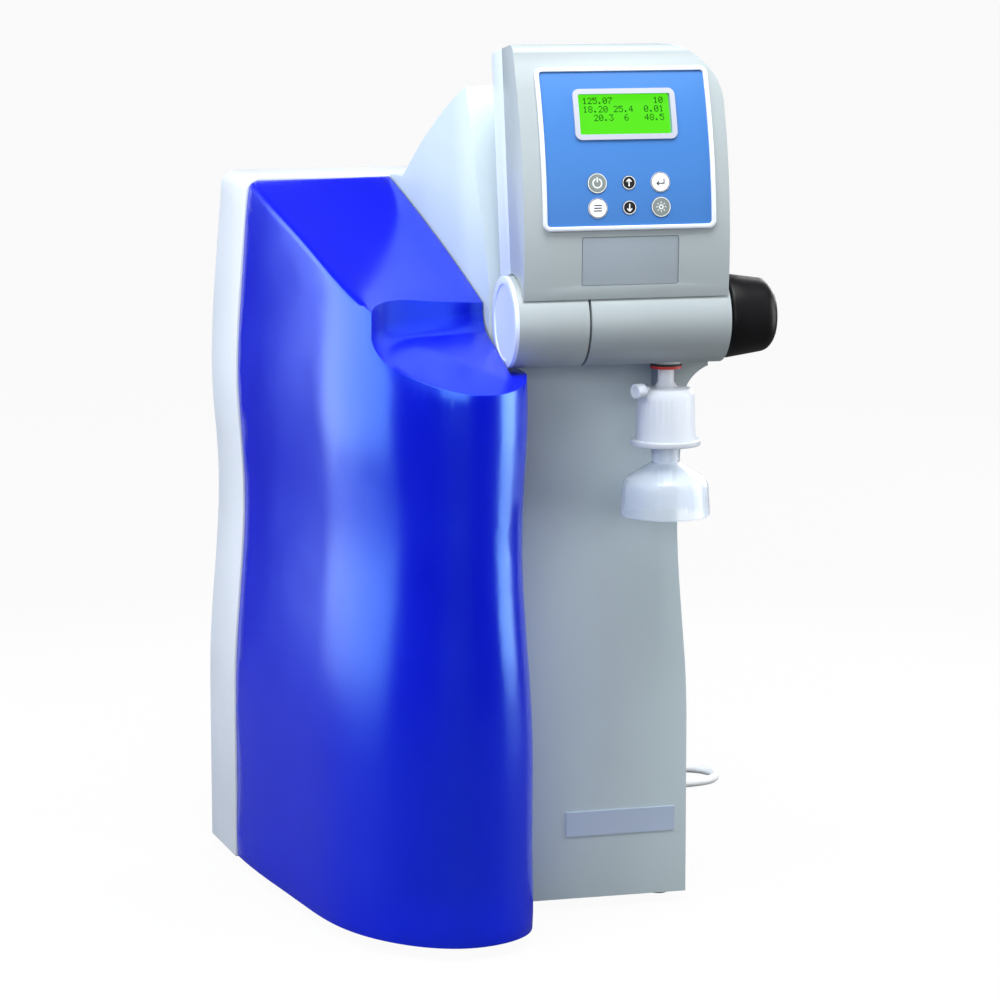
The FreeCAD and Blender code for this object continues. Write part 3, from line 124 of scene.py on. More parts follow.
# %% Route of the supply tube
TUBE_RADIUS = 3.175 * MM
ROUTE = [
    (25, 155, 90),
    (25, 183, 87),
    (32, 204, 66),
    (47, 216, 34),
    (76, 222, 9),
    (116, 224, 3.5),
    (154, 223, 3.5),
    (189, 221, 3.5),
    (222, 223, 3.5),
    (235, 236, 3.5),
    (235, 254, 3.5),
    (222, 267, 3.5),
    (187, 270, 3.5),
    (150, 278, 3.5),
    (112, 292, 3.5),
    (68, 300, 3.5),
    (30, 321, 3.5),
]
route = [Vector(point) * MM for point in ROUTE]
print(len(route), "points on the route")

# %% Turns of the coil
COIL_RADIUS = 38 * MM
PITCH = 2.02 * TUBE_RADIUS
STEPS = 16
# A turn moves to its place in the first third of its round.
MOVES_PER_TURN = 3
# Place of each turn in the ring's section: how many pitches inwards and how many up.
TURN_PLACES = [(0, 0), (1, 0), (1, 1), (0, 1), (0, 2)]

heading = (route[-1] - route[-2]).normalized()
inward = Vector((-heading.y, heading.x, 0))
entry_radius = COIL_RADIUS + 2 * TUBE_RADIUS
coil_centre = route[-1] + inward * entry_radius
entry_angle = math.atan2(-inward.y, -inward.x)


def turn_place(turns):
    """Distance from the coil's axis and height above its lowest turn, after a number of turns."""
    index = min(int(turns), len(TURN_PLACES) - 1)
    before = TURN_PLACES[max(index - 1, 0)]
    here = TURN_PLACES[index]
    share = min((turns - index) * MOVES_PER_TURN, 1)
    share = share * share * (3 - 2 * share)
    across = before[0] + (here[0] - before[0]) * share
    up = before[1] + (here[1] - before[1]) * share
    extra = 2 * TUBE_RADIUS * (1 - share) if index == 0 else 0
    return COIL_RADIUS - across * PITCH + extra, up * PITCH


coil_points = []
for step in range(1, STEPS * len(TURN_PLACES) + 1):
    turns = step / STEPS
    radius, height = turn_place(turns)
    angle = entry_angle + turns * 2 * math.pi
    offset = Vector((radius * math.cos(angle), radius * math.sin(angle), height))
    coil_points.append(coil_centre + offset)
print(len(coil_points), "points in the coil")

# %% The tube as one spline
SECTION_STEPS = 4
STEPS_ALONG = 6
SPLINE_ORDER = 3
line_data = bpy.data.curves.new("supply_line", "CURVE")
line_data.dimensions = "3D"
line_data.bevel_depth = 1
line_data.bevel_resolution = SECTION_STEPS
line_data.resolution_u = STEPS_ALONG
line_data.use_fill_caps = True
spline = line_data.splines.new("NURBS")
line_points = route + coil_points
spline.points.add(len(line_points) - 1)
for slot, point in zip(spline.points, line_points):
    slot.co = (*point, 1)
    slot.radius = TUBE_RADIUS
spline.order_u = SPLINE_ORDER
spline.use_endpoint_u = True
supply_line = placed("supply_line", line_data)
print("supply line", round(spline.calc_length(), 3), "m")

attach(supply_line, "cabinet")
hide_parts("supply_tube", "tube_coil")

# %% [markdown]
# ## Finishes
# Moulded plastic is never a flat colour: the steel of its tool is etched, so light breaks up on a
# fine grain, the gloss wanders a little, and the colour has a faint mottle. One shader group makes
# those three from noise on Object coordinates, and each material uses it with its own values.

# %% Helpers for node trees


def add_socket(tree, name, direction, kind="NodeSocketFloat", value=None):
    """One named input or output of a node group."""
    socket = tree.interface.new_socket(name=name, in_out=direction, socket_type=kind)
    if value is not None:
        socket.default_value = value
    return socket


def noise(tree, vector, scale, detail):
    """A noise texture on a vector, with its scale from a socket."""
    texture = tree.nodes.new("ShaderNodeTexNoise")
    texture.inputs["Detail"].default_value = detail
    tree.links.new(vector, texture.inputs["Vector"])
    tree.links.new(scale, texture.inputs["Scale"])
    return texture.outputs["Fac"]


NOISE_LOW = 0.3
NOISE_HIGH = 0.7


def remap(tree, value, low, high):
    """A noise value carried to the range between two sockets."""
    mapper = tree.nodes.new("ShaderNodeMapRange")
    mapper.inputs["From Min"].default_value = NOISE_LOW
    mapper.inputs["From Max"].default_value = NOISE_HIGH
    tree.links.new(value, mapper.inputs["Value"])
    tree.links.new(low, mapper.inputs["To Min"])
    tree.links.new(high, mapper.inputs["To Max"])
    return mapper.outputs["Result"]


def arithmetic(tree, operation, *values):
    """The output of a Math node whose inputs are sockets or plain numbers."""
    node = tree.nodes.new("ShaderNodeMath")
    node.operation = operation
    for socket, value in zip(node.inputs, values):
        if isinstance(value, bpy.types.NodeSocket):
            tree.links.new(value, socket)
        else:
            socket.default_value = value
    return node.outputs[0]


# %% Shared group: moulded grain
FINE_DETAIL = 2
BROAD_DETAIL = 3
grain = bpy.data.node_groups.new("moulded_grain", "ShaderNodeTree")
add_socket(grain, "Grain Scale", "INPUT", value=2500)
add_socket(grain, "Mottle Scale", "INPUT", value=14)
add_socket(grain, "Roughness Low", "INPUT", value=0.35)
add_socket(grain, "Roughness High", "INPUT", value=0.45)
add_socket(grain, "Light Tone", "INPUT", "NodeSocketColor")
add_socket(grain, "Dark Tone", "INPUT", "NodeSocketColor")
add_socket(grain, "Colour", "OUTPUT", "NodeSocketColor")
add_socket(grain, "Roughness", "OUTPUT")
add_socket(grain, "Height", "OUTPUT")

entry = grain.nodes.new("NodeGroupInput")
leave = grain.nodes.new("NodeGroupOutput")
place = grain.nodes.new("ShaderNodeTexCoord").outputs["Object"]
fine = noise(grain, place, entry.outputs["Grain Scale"], FINE_DETAIL)
broad = noise(grain, place, entry.outputs["Mottle Scale"], BROAD_DETAIL)
tone = grain.nodes.new("ShaderNodeMix")
tone.data_type = "RGBA"
grain.links.new(broad, tone.inputs["Factor"])
grain.links.new(entry.outputs["Dark Tone"], tone.inputs["A"])
grain.links.new(entry.outputs["Light Tone"], tone.inputs["B"])
gloss = remap(grain, broad, entry.outputs["Roughness Low"], entry.outputs["Roughness High"])
grain.links.new(tone.outputs["Result"], leave.inputs["Colour"])
grain.links.new(gloss, leave.inputs["Roughness"])
grain.links.new(fine, leave.inputs["Height"])
print("group", grain.name)

# %% [markdown]
# Every finish below is one call: a colour as it looks on a screen, a range of roughness, the grain
# and how deep it is. Screen colours are turned into the linear numbers that the shader needs.

# %% A screen colour in linear numbers
FULL = 255
DARK_END = 0.04045
DARK_SLOPE = 12.92
SCREEN_OFFSET = 0.055
SCREEN_POWER = 2.4


def linear(red, green, blue):
    """A screen colour from 0..255 as linear numbers."""
    numbers = []
    for number in (red, green, blue):
        share = number / FULL
        if share <= DARK_END:
            numbers.append(share / DARK_SLOPE)
        else:
            numbers.append(((share + SCREEN_OFFSET) / (1 + SCREEN_OFFSET)) ** SCREEN_POWER)
    return tuple(numbers)


print("middle grey", [round(number, 3) for number in linear(128, 128, 128)])

# %% A finish from the shared grain
BUMP_HEIGHT = 0.4 * MM


def finish(name, colour, rough, grain_scale=2500, depth=0.02, mottle=0.05, constants=()):
    """A Principled material whose colour, gloss and bump vary by the moulded grain."""
    material = bpy.data.materials.new(name)
    material.use_nodes = True
    tree = material.node_tree
    shader = tree.nodes["Principled BSDF"]
    group = tree.nodes.new("ShaderNodeGroup")
    group.node_tree = grain
    tone = linear(*colour)
    light = [min(part * (1 + mottle), 1) for part in tone]
    dark = [part * (1 - mottle) for part in tone]
    group.inputs["Light Tone"].default_value = (*light, 1)
    group.inputs["Dark Tone"].default_value = (*dark, 1)
    group.inputs["Roughness Low"].default_value = rough[0]
    group.inputs["Roughness High"].default_value = rough[1]
    group.inputs["Grain Scale"].default_value = grain_scale
    bump = tree.nodes.new("ShaderNodeBump")
    bump.inputs["Strength"].default_value = depth
    bump.inputs["Distance"].default_value = BUMP_HEIGHT
    tree.links.new(group.outputs["Colour"], shader.inputs["Base Color"])
    tree.links.new(group.outputs["Roughness"], shader.inputs["Roughness"])
    tree.links.new(group.outputs["Height"], bump.inputs["Height"])
    tree.links.new(bump.outputs["Normal"], shader.inputs["Normal"])
    for socket, value in constants:
        shader.inputs[socket].default_value = value
    return material


# %% [markdown]
# The cabinet plastics: a cool white housing, a greyer tower and a silver-grey head and barrel, all
# satin. The head's rear shell wears a lighter copy of that same grey, as painted light on the top
# of the head. The door is cast in a deep blue that lets some light through, so the Principled
# shader gets a share of transmission under a rough, glossy skin.

# %% Cabinet and head finishes
housing_white = finish("housing_white", (201, 206, 214), (0.38, 0.46), depth=0.06)
tower_grey = finish("tower_grey", (184, 199, 204), (0.42, 0.50), depth=0.08)
barrel_grey = finish("barrel_grey", (159, 169, 172), (0.36, 0.44), depth=0.06)
# Painted light: the same plastic as the barrel and front shell, made lighter for the light on the
# head's top.
head_grey = finish("head_grey", (202, 213, 224), (0.36, 0.44), depth=0.06)
cap_white = finish("cap_white", (212, 224, 250), (0.36, 0.44), depth=0.05)
bezel_white = finish("bezel_white", (214, 220, 229), (0.25, 0.32))
frame_grey = finish("frame_grey", (174, 178, 192), (0.28, 0.36))
floor_grey = finish("floor_grey", (176, 180, 184), (0.5, 0.6), depth=0.1)
cover_blue = finish(
    "cover_blue", (4, 13, 236), (0.20, 0.26), mottle=0.10, depth=0.01,
    constants=[
        ("Transmission Weight", 0.40),
        ("IOR", 2.1),
        ("Specular Tint", (0.22, 0.60, 1.0, 1)),
    ])
door_arm_blue = finish("door_arm_blue", (20, 26, 110), (0.4, 0.5))
print(len(bpy.data.materials), "materials so far")

# %% [markdown]
# The face of the head is a printed film with a fine, even grain, and the keys are smooth moulded
# caps. The two plates are brushed foil, which could be a bitmap of scratches; a share of metal
# under a coarse grain gives the same broken gleam. The knob is black and satin, and so dull in its
# mirror part that it stays black under a bright lamp.

# %% Face, keys and trim finishes
HALF_METAL = [("Metallic", 0.35)]
overlay_blue = finish("overlay_blue", (58, 116, 186), (0.34, 0.40), 4200, depth=0.05, mottle=0.02)
key_white = finish("key_white", (238, 240, 244), (0.28, 0.34), mottle=0.02)
key_grey = finish("key_grey", (122, 132, 130), (0.32, 0.38))
key_black = finish("key_black", (14, 14, 16), (0.28, 0.34))
plate_silver = finish(
    "plate_silver", (166, 178, 188), (0.34, 0.46), 900, depth=0.04, constants=HALF_METAL)
plate_cool = finish(
    "plate_cool", (184, 200, 222), (0.34, 0.46), 900, depth=0.04, constants=HALF_METAL)
knob_black = finish(
    "knob_black", (6, 6, 9), (0.38, 0.46), 1800, depth=0.06,
    constants=[("Specular IOR Level", 0.22)])
foot_rubber = finish("foot_rubber", (38, 38, 40), (0.7, 0.8), 1200, depth=0.2)
seal_red = finish("seal_red", (190, 44, 40), (0.45, 0.52))
print(len(bpy.data.materials), "materials so far")

# %% [markdown]
# Inside are painted sheet metal, bright steel, felt-like filter paper, cloudy tank plastic and
# green boards. They show when the door is open or the panel is seen from behind, so each has a
# finish of its own, but none needs more than one line.

# %% Finishes inside and behind
CLOUDY = [("Transmission Weight", 0.15)]
panel_metal = finish("panel_metal", (196, 200, 204), (0.40, 0.48), 1500, depth=0.15)
steel = finish(
    "steel", (200, 202, 205), (0.24, 0.34), 700, depth=0.05, constants=[("Metallic", 1.0)])
filter_white = finish("filter_white", (236, 236, 230), (0.6, 0.7), 1400, depth=0.15)
tank_white = finish("tank_white", (226, 232, 234), (0.42, 0.5), constants=CLOUDY)
cartridge_white = finish("cartridge_white", (236, 238, 240), (0.26, 0.34))
fitting_grey = finish("fitting_grey", (118, 124, 130), (0.42, 0.5))
inlet_black = finish("inlet_black", (24, 24, 26), (0.4, 0.5), 1800, depth=0.1)
motor_paint = finish("motor_paint", (52, 54, 58), (0.42, 0.52), 1300, depth=0.12)
pipe_white = finish("pipe_white", (232, 236, 238), (0.3, 0.38), constants=CLOUDY)
board_green = finish("board_green", (28, 104, 62), (0.4, 0.46), 3000, depth=0.03)
tube_white = finish("tube_white", (226, 230, 232), (0.30, 0.38))
print(len(bpy.data.materials), "materials so far")

# %% [markdown]
# The capsule is frosted: most light goes through, but scattered, so its pleated filter shows only
# as a pale shape. The bell is nearly clear, with the faint blue of polished plastic. The display
# glows, so its colour is in the emission and its base is dark. Both clear parts have a lower IOR
# than solid plastic, because they are thin walls, and a strong bend of light would make them look
# like blocks of glass.

# %% Clear, frosted and lit finishes
capsule_frosted = finish(
    "capsule_frosted", (240, 246, 255), (0.34, 0.42), depth=0.02, mottle=0.02,
    constants=[("Transmission Weight", 0.45), ("IOR", 1.3)])
bell_clear = finish(
    "bell_clear", (240, 247, 255), (0.20, 0.26), depth=0.004, mottle=0.01,
    constants=[("Transmission Weight", 0.76), ("IOR", 1.3)])
screen_green = finish(
    "screen_green", (24, 60, 12), (0.18, 0.24), depth=0.0,
    constants=[("Emission Color", (*linear(92, 244, 22), 1)), ("Emission Strength", 0.88)])
digit_dark = finish(
    "digit_dark", (10, 88, 6), (0.4, 0.5), depth=0.0, constants=[("Specular IOR Level", 0.1)])
print(len(bpy.data.materials), "materials")

# %% [markdown]
# ## Which node wears which finish
# Most inner parts and all flat trim are shaped well enough as they come from the frame. A node's
# mesh is never edited. Its material slots are, so such a node only needs a line in this list.

# %% Finishes on the nodes
WEARS = {
    housing_white: ["rear_housing", "hinge_posts"],
    tower_grey: ["tower_shell"],
    barrel_grey: ["valve_barrel", "head_barrel", "display_front_shell"],
    head_grey: ["display_rear_shell"],
    cap_white: ["barrel_end_cap"],
    bezel_white: ["display_bezel"],
    frame_grey: ["lcd_frame"],
    floor_grey: ["base_plate", "bay_bulkhead"],
    cover_blue: ["cover_shell", "cover_catch"],
    door_arm_blue: ["hinge_arms"],
    overlay_blue: ["keypad_overlay"],
    screen_green: ["lcd_screen"],
    key_white: ["enter_key", "menu_key"],
    key_grey: ["power_key", "lamp_key"],
    key_black: ["up_key", "down_key"],
    plate_silver: ["blank_plate"],
    plate_cool: ["name_plate"],
    knob_black: ["flow_knob"],
    foot_rubber: ["rubber_feet", "outlet_washer"],
    seal_red: ["outlet_seal"],
    capsule_frosted: ["capsule_shell", "capsule_base", "vent_plug"],
    bell_clear: ["filling_bell"],
    panel_metal: ["rear_panel"],
    steel: ["panel_screws", "hinge_spindle", "valve_stem", "float_stem", "lamp_reactor"],
    filter_white: ["capsule_element", "vent_filter", "ultrafilter"],
    tank_white: ["feed_tank", "tank_lid"],
    cartridge_white: ["polishing_cartridge", "softening_cartridge"],
    fitting_grey: [
        "rear_fittings", "valve_body", "valve_plug", "cartridge_manifold", "pump_head",
        "level_float"],
    inlet_black: ["power_inlet"],
    motor_paint: ["pump_motor"],
    pipe_white: ["suction_pipe", "feed_pipe"],
    board_green: ["control_board", "display_board"],
    tube_white: ["supply_tube", "tube_coil"],
}


def wear(item, material):
    """Gives every material slot of an object one finish."""
    if not item.data.materials:
        item.data.materials.append(material)
    for index in range(len(item.data.materials)):
        item.data.materials[index] = material


for material, labels in WEARS.items():
    for label in labels:
        wear(nodes[label], material)
wear(supply_line, tube_white)
dressed = sum(len(labels) for labels in WEARS.values())
print(dressed, "of", len(nodes), "nodes have a finish")

# %% [markdown]
# ## Soft edges on the moulded shells
# A moulded corner has a small radius, and it is that radius that catches the light as a thin
# bright line. A bevel in the shader could fake it, but the outline would stay sharp. So the shells
# are copied from their nodes with their finish, their loose triangles merged, flat triangles
# dissolved into whole faces, and their sharp edges bevelled. The copy then stands for the node.

# %% A copy that can be bevelled
MERGE_REACH = 0.002 * MM
FLAT_WITHIN = math.radians(0.6)


def merged_copy(label, name):
    """A copy of a node's mesh with its doubles merged and its flat faces made whole."""
    mesh = nodes[label].data.copy()
    mesh.name = name
    work = bmesh.new()
    work.from_mesh(mesh)
    bmesh.ops.remove_doubles(work, verts=work.verts, dist=MERGE_REACH)
    bmesh.ops.dissolve_limit(
        work, angle_limit=FLAT_WITHIN, verts=work.verts, edges=work.edges,
        use_dissolve_boundaries=False)
    work.to_mesh(mesh)
    work.free()
    return placed(name, mesh)


# %% Shading and modifiers


def smooth_shade(mesh, sharp=35):
    """Smooth shading with hard edges kept where faces meet at more than an angle in degrees."""
    work = bmesh.new()
    work.from_mesh(mesh)
    limit = math.radians(sharp)
    for face in work.faces:
        face.smooth = True
    for edge in work.edges:
        edge.smooth = len(edge.link_faces) == 2 and edge.calc_face_angle(0) < limit
    work.to_mesh(mesh)
    work.free()


def baked(item):
    """The object with its modifiers applied to its mesh."""
    shown = item.evaluated_get(bpy.context.evaluated_depsgraph_get())
    mesh = bpy.data.meshes.new_from_object(shown)
    item.modifiers.clear()
    item.data = mesh
    return item


# %% [markdown]
# The hood of the door runs up to the left and meets the door's side along one slanting ridge. It
# is far rounder than the other edges, so it gets a bevel of its own before them. Its edges are
# found by the way they face, how sharp they are and how high they lie, which needs no list of
# edge numbers that would change with the mesh.

# %% The hood's ridge
RIDGE_FACES = Vector((-0.60, -0.32, 0.73))
RIDGE_MATCH = 0.93
RIDGE_SHARP = math.radians(60)
RIDGE_LOW_END = 396 * MM
RIDGE_WIDTH = 4.5 * MM
RIDGE_SEGMENTS = 6


def round_ridge(mesh):
    """Rounds the hood's long outer ridge."""
    work = bmesh.new()
    work.from_mesh(mesh)
    ridge = []
    for edge in work.edges:
        if len(edge.link_faces) != 2 or edge.calc_face_angle_signed(0) < RIDGE_SHARP:
            continue
        facing = (edge.link_faces[0].normal + edge.link_faces[1].normal).normalized()
        lowest = min(vertex.co.z for vertex in edge.verts)
        if facing.dot(RIDGE_FACES) > RIDGE_MATCH and lowest > RIDGE_LOW_END:
            ridge.append(edge)
    bmesh.ops.bevel(
        work, geom=ridge, offset=RIDGE_WIDTH, segments=RIDGE_SEGMENTS, profile=0.5,
        affect="EDGES", clamp_overlap=False)
    work.to_mesh(mesh)
    work.free()
    print("ridge edges", len(ridge))


# %% A softened stand-in for a node
EDGE_SHARP = math.radians(40)
EDGE_SEGMENTS = 3


def soften(label, name, width):
    """A bevelled stand-in for one node, riding where the node rides."""
    item = merged_copy(label, name)
    if label == "cover_shell":
        round_ridge(item.data)
    bevel = item.modifiers.new("soft_edges", "BEVEL")
    bevel.width = width
    bevel.segments = EDGE_SEGMENTS
    bevel.limit_method = "ANGLE"
    bevel.angle_limit = EDGE_SHARP
    bevel.use_clamp_overlap = True
    bevel.miter_outer = "MITER_ARC"
    baked(item)
    smooth_shade(item.data)
    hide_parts(label)
    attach(item, nodes[label]["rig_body"])
    return item


# %% The softened shells
# Each row: the node, its stand-in, the width of its edges in millimetres and its slot.
SHELLS = [
    ("tower_shell", "tower_skin", 1.2, "tower_grey"),
    ("rear_housing", "housing_skin", 1.0, "housing_white"),
    ("cover_shell", "cover_skin", 2.0, "cover_blue"),
    ("display_front_shell", "head_front_skin", 1.0, "barrel_grey"),
    ("display_rear_shell", "head_rear_skin", 1.0, "barrel_grey"),
    ("valve_barrel", "barrel_skin", 0.8, "barrel_grey"),
    ("head_barrel", "head_barrel_skin", 0.8, "barrel_grey"),
    ("barrel_end_cap", "end_cap_skin", 0.8, "cap_white"),
    ("display_bezel", "bezel_skin", 0.8, "bezel_white"),
    ("capsule_shell", "capsule_skin", 0.9, "capsule_frosted"),
    ("capsule_base", "capsule_base_skin", 0.7, "capsule_frosted"),
    ("vent_plug", "vent_plug_skin", 0.6, "capsule_frosted"),
    ("filling_bell", "bell_skin", 0.5, "bell_clear"),
]
for label, name, width, slot_name in SHELLS:
    skin = soften(label, name, width * MM)
    print(name, len(skin.data.polygons), "faces")

# %% [markdown]
# ## The dispensing knob
# The knob is a black cap on the valve's stem. The facets of a coarser mesh would show as streaks
# in its satin skin, so it is turned anew about the barrel's axis. Its outline is all that has to be
# drawn: a blind bore for the stem, a flat back, a gentle taper and one large round at the tip. The
# outline is carried round in ninety-six steps, which keeps the light on it smooth.

# %% Outline of the knob
KNOB_PROFILE = [
    (132.5, 0), (132.5, 3), (120.5, 3), (120.5, 24), (120.7, 24.7), (121.3, 25.4), (122.2, 25.8),
    (123.2, 25.9), (131, 24.78), (138, 23.78), (144, 22.9), (145.8, 22.62), (147.4, 22.1),
    (148.8, 21.3), (150, 20.2), (151, 19), (151.8, 17.6), (152.3, 16), (152.5, 14.2), (152.5, 0),
]
KNOB_STEPS = 96
print("knob", KNOB_PROFILE[-1][0] - KNOB_PROFILE[2][0], "mm long")

# %% A body turned about an axis along X
POLE_MERGE = 0.001 * MM
SLIVER = 0.0001 * MM
TURNED_SHARP = 50


def turned(name, profile, axis_y, axis_z, steps):
    """A closed body from (place along X, radius) pairs in millimetres, about a line along X."""
    work = bmesh.new()
    rows = []
    for step in range(steps):
        turn = 2 * math.pi * step / steps
        row = []
        for along, radius in profile:
            spot = (along, radius * math.cos(turn), radius * math.sin(turn))
            row.append(work.verts.new(Vector(spot) * MM + Vector((0, axis_y, axis_z))))
        rows.append(row)
    for row, after in zip(rows, rows[1:] + rows[:1]):
        for place in range(len(profile) - 1):
            work.faces.new((row[place], row[place + 1], after[place + 1], after[place]))
    bmesh.ops.remove_doubles(work, verts=work.verts, dist=POLE_MERGE)
    bmesh.ops.dissolve_degenerate(work, edges=work.edges, dist=SLIVER)
    bmesh.ops.recalc_face_normals(work, faces=work.faces)
    mesh = mesh_of(name, work)
    smooth_shade(mesh, TURNED_SHARP)
    return placed(name, mesh)


low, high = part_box("flow_knob")
knob = turned("knob_skin", KNOB_PROFILE, (low.y + high.y) / 2, (low.z + high.z) / 2, KNOB_STEPS)
wear(knob, knob_black)
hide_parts("flow_knob")
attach(knob, nodes["flow_knob"]["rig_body"])
print("knob", len(knob.data.polygons), "faces")

# %% [markdown]
# ## Signs on the display head
# The head has its own upright frame on the barrel axis and leans back by nine degrees. Flat signs
# are drawn in that frame as small outlines, and each of their corners is dropped along the frame's
# depth onto the node below with a ray, so that they follow the curve of the face wherever it is.

# %% Dropping points onto a node
LEAN = 9
RAY_START = -80
HEAD_ORIGIN = Vector((0, -104, 381.5)) * MM
HEAD_LEAN = Matrix.Rotation(math.radians(-LEAN), 4, "X")
head_frame = Matrix.Translation(HEAD_ORIGIN) @ HEAD_LEAN
depth_way = (HEAD_LEAN @ Vector((0, 1, 0, 0))).to_3d()


def surface_of(label):
    """A search tree over one node's triangles."""
    mesh = nodes[label].data
    mesh.calc_loop_triangles()
    triangles = [tuple(part.vertices) for part in mesh.loop_triangles]
    return BVHTree.FromPolygons([vertex.co for vertex in mesh.vertices], triangles)


def dropped(tree, across, height, lift):
    """The point of a surface behind a place in the head's frame, raised off the surface."""
    start = head_frame @ Vector((across * MM, RAY_START * MM, height * MM))
    point = tree.ray_cast(start, depth_way)[0]
    return point - depth_way * lift * MM


def drawn(name, shapes, tree, lift, material, body):
    """A piece made of flat outlines, each a list of (across, height) corners in millimetres."""
    work = bmesh.new()
    for shape in shapes:
        corners = [dropped(tree, across, height, lift) for across, height in shape]
        face = work.faces.new([work.verts.new(corner) for corner in corners])
        face.normal_update()
        if face.normal.dot(depth_way) > 0:
            face.normal_flip()
    item = placed(name, mesh_of(name, work))
    wear(item, material)
    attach(item, body)
    return item


# %% [markdown]
# The signs are plain: an open ring with a stroke for power, arrows for up and down, a bent arrow
# to confirm, three bars for the list and a small lamp with rays. Thin rings trim the keys. Signs
# could be text objects, but a few strokes and rings need no font and stay flat on the keys.

# %% Outlines of the signs


def ring(inner, outer, start=0, sweep=360, steps=40):
    """A ring or part of one, as a run of short quads; angles in degrees."""
    shapes = []
    for step in range(steps):
        first = math.radians(start + sweep * step / steps)
        last = math.radians(start + sweep * (step + 1) / steps)
        shapes.append([
            (inner * math.cos(first), inner * math.sin(first)),
            (outer * math.cos(first), outer * math.sin(first)),
            (outer * math.cos(last), outer * math.sin(last)),
            (inner * math.cos(last), inner * math.sin(last)),
        ])
    return shapes


def stroke(start, end, width):
    """A straight bar between two points."""
    along = Vector((end[0] - start[0], end[1] - start[1])).normalized()
    side = Vector((-along.y, along.x)) * width / 2
    first, last = Vector(start), Vector(end)
    return [tuple(first - side), tuple(last - side), tuple(last + side), tuple(first + side)]


def arrow(way, reach=2.2, width=0.75):
    """An upright arrow; way is 1 for up and -1 for down."""
    tip = (0, way * reach)
    return [
        stroke((0, -way * reach), (0, way * (reach - 0.3)), width),
        stroke((-1.5, way * (reach - 1.6)), tip, width),
        stroke((1.5, way * (reach - 1.6)), tip, width),
    ]


power = ring(2.3, 3.1, 112, 316) + [stroke((0, 0.6), (0, 3.6), 0.8)]
confirm = [
    stroke((2.2, 2.0), (2.2, -0.8), 0.7),
    stroke((2.5, -0.8), (-2.0, -0.8), 0.7),
    stroke((-2.4, -0.8), (-0.9, 0.5), 0.7),
    stroke((-2.4, -0.8), (-0.9, -2.1), 0.7),
]
bars = [stroke((-2.4, level), (2.4, level), 0.7) for level in (-1.6, 0, 1.6)]
rays = []
for turn in range(8):
    way = (math.cos(turn * math.pi / 4), math.sin(turn * math.pi / 4))
    rays.append(stroke((2.1 * way[0], 2.1 * way[1]), (3.2 * way[0], 3.2 * way[1]), 0.5))
lamp_sign = ring(0.8, 1.5) + rays
print(len(power) + len(confirm) + len(bars) + len(lamp_sign), "outlines")

# %% The signs on their keys
SIGN_LIFT = 0.03
TRIM_WIDTH = 0.4
sign_white = finish("sign_white", (226, 230, 230), (0.4, 0.5), depth=0.0)
sign_dark = finish("sign_dark", (30, 32, 36), (0.4, 0.5), depth=0.0)
KEY_PITCH = 19.8
KEY_RISE = 14.9
KEY_MIDDLE = (53.9, 72.5)
# Each row: the key, its column and line, its outlines, their finish and the radius of its trim.
SIGNS = [
    ("menu_key", 0, 0, bars, sign_dark, 5.45),
    ("down_key", 1, 0, arrow(-1), sign_white, 3.65),
    ("lamp_key", 2, 0, lamp_sign, sign_white, 5.45),
    ("power_key", 0, 1, power, sign_white, 5.45),
    ("up_key", 1, 1, arrow(1), sign_white, 3.65),
    ("enter_key", 2, 1, confirm, sign_dark, 5.45),
]
for label, column, line, shapes, material, trim in SIGNS:
    across = KEY_MIDDLE[0] + (column - 1) * KEY_PITCH
    height = KEY_MIDDLE[1] + (line - 0.5) * KEY_RISE
    outlines = shapes + ring(trim, trim + TRIM_WIDTH)
    moved = [[(across + x, height + y) for x, y in outline] for outline in outlines]
    drawn(label.replace("key", "sign"), moved, surface_of(label), SIGN_LIFT, material, label)
print(len(SIGNS), "signs")

# %% [markdown]
# ## Digits of the display
# The display writes with dots, seven high and five wide. A mesh of single points marks the dots
# that are on, and a Geometry Nodes tree puts one small square on each, which is cheap to change:
# the size of a dot is a named input. The squares are made real before the piece is used.

# %% Dots that are on
DIGITS = {
    "0": "01110 10001 10011 10101 11001 10001 01110",
    "1": "00100 01100 00100 00100 00100 00100 01110",
    "2": "01110 10001 00001 00010 00100 01000 11111",
    "3": "11111 00010 00100 00010 00001 10001 01110",
    "4": "00010 00110 01010 10010 11111 00010 00010",
    "5": "11111 10000 11110 00001 00001 10001 01110",
    "6": "00110 01000 10000 11110 10001 10001 01110",
    "7": "11111 00001 00010 00100 01000 01000 01000",
    "8": "01110 10001 10001 01110 10001 10001 01110",
    "9": "01110 10001 10001 01111 00001 00010 01100",
    ".": "00000 00000 00000 00000 00000 01100 01100",
}
LINES = ["125.07        10", "18.20 25.4  0.01", "  20.3  6   48.5"]
DOT_PITCH = (0.53, 0.56)
LINE_PITCH = 5.2
TEXT_CORNER = (29.1, 131.6)
SIGN_COLUMNS = 6
DOT_LIFT = 0.12

screen = surface_of("lcd_screen")
dots = []
for line, text in enumerate(LINES):
    for column, sign in enumerate(text):
        for row, bits in enumerate(DIGITS.get(sign, "").split()):
            for slot, bit in enumerate(bits):
                if bit == "1":
                    across = TEXT_CORNER[0] + (column * SIGN_COLUMNS + slot) * DOT_PITCH[0]
                    height = TEXT_CORNER[1] - line * LINE_PITCH - row * DOT_PITCH[1]
                    dots.append(dropped(screen, across, height, DOT_LIFT))
print(len(dots), "dots")

# %% Helpers for Geometry Nodes


def geometry_tree(name, *inputs):
    """An empty Geometry Nodes tree with its mesh input, named inputs and mesh output."""
    tree = bpy.data.node_groups.new(name, "GeometryNodeTree")
    add_socket(tree, "Geometry", "INPUT", "NodeSocketGeometry")
    for label, kind, value in inputs:
        add_socket(tree, label, "INPUT", kind, value)
    add_socket(tree, "Geometry", "OUTPUT", "NodeSocketGeometry")
    return tree, tree.nodes.new("NodeGroupInput"), tree.nodes.new("NodeGroupOutput")


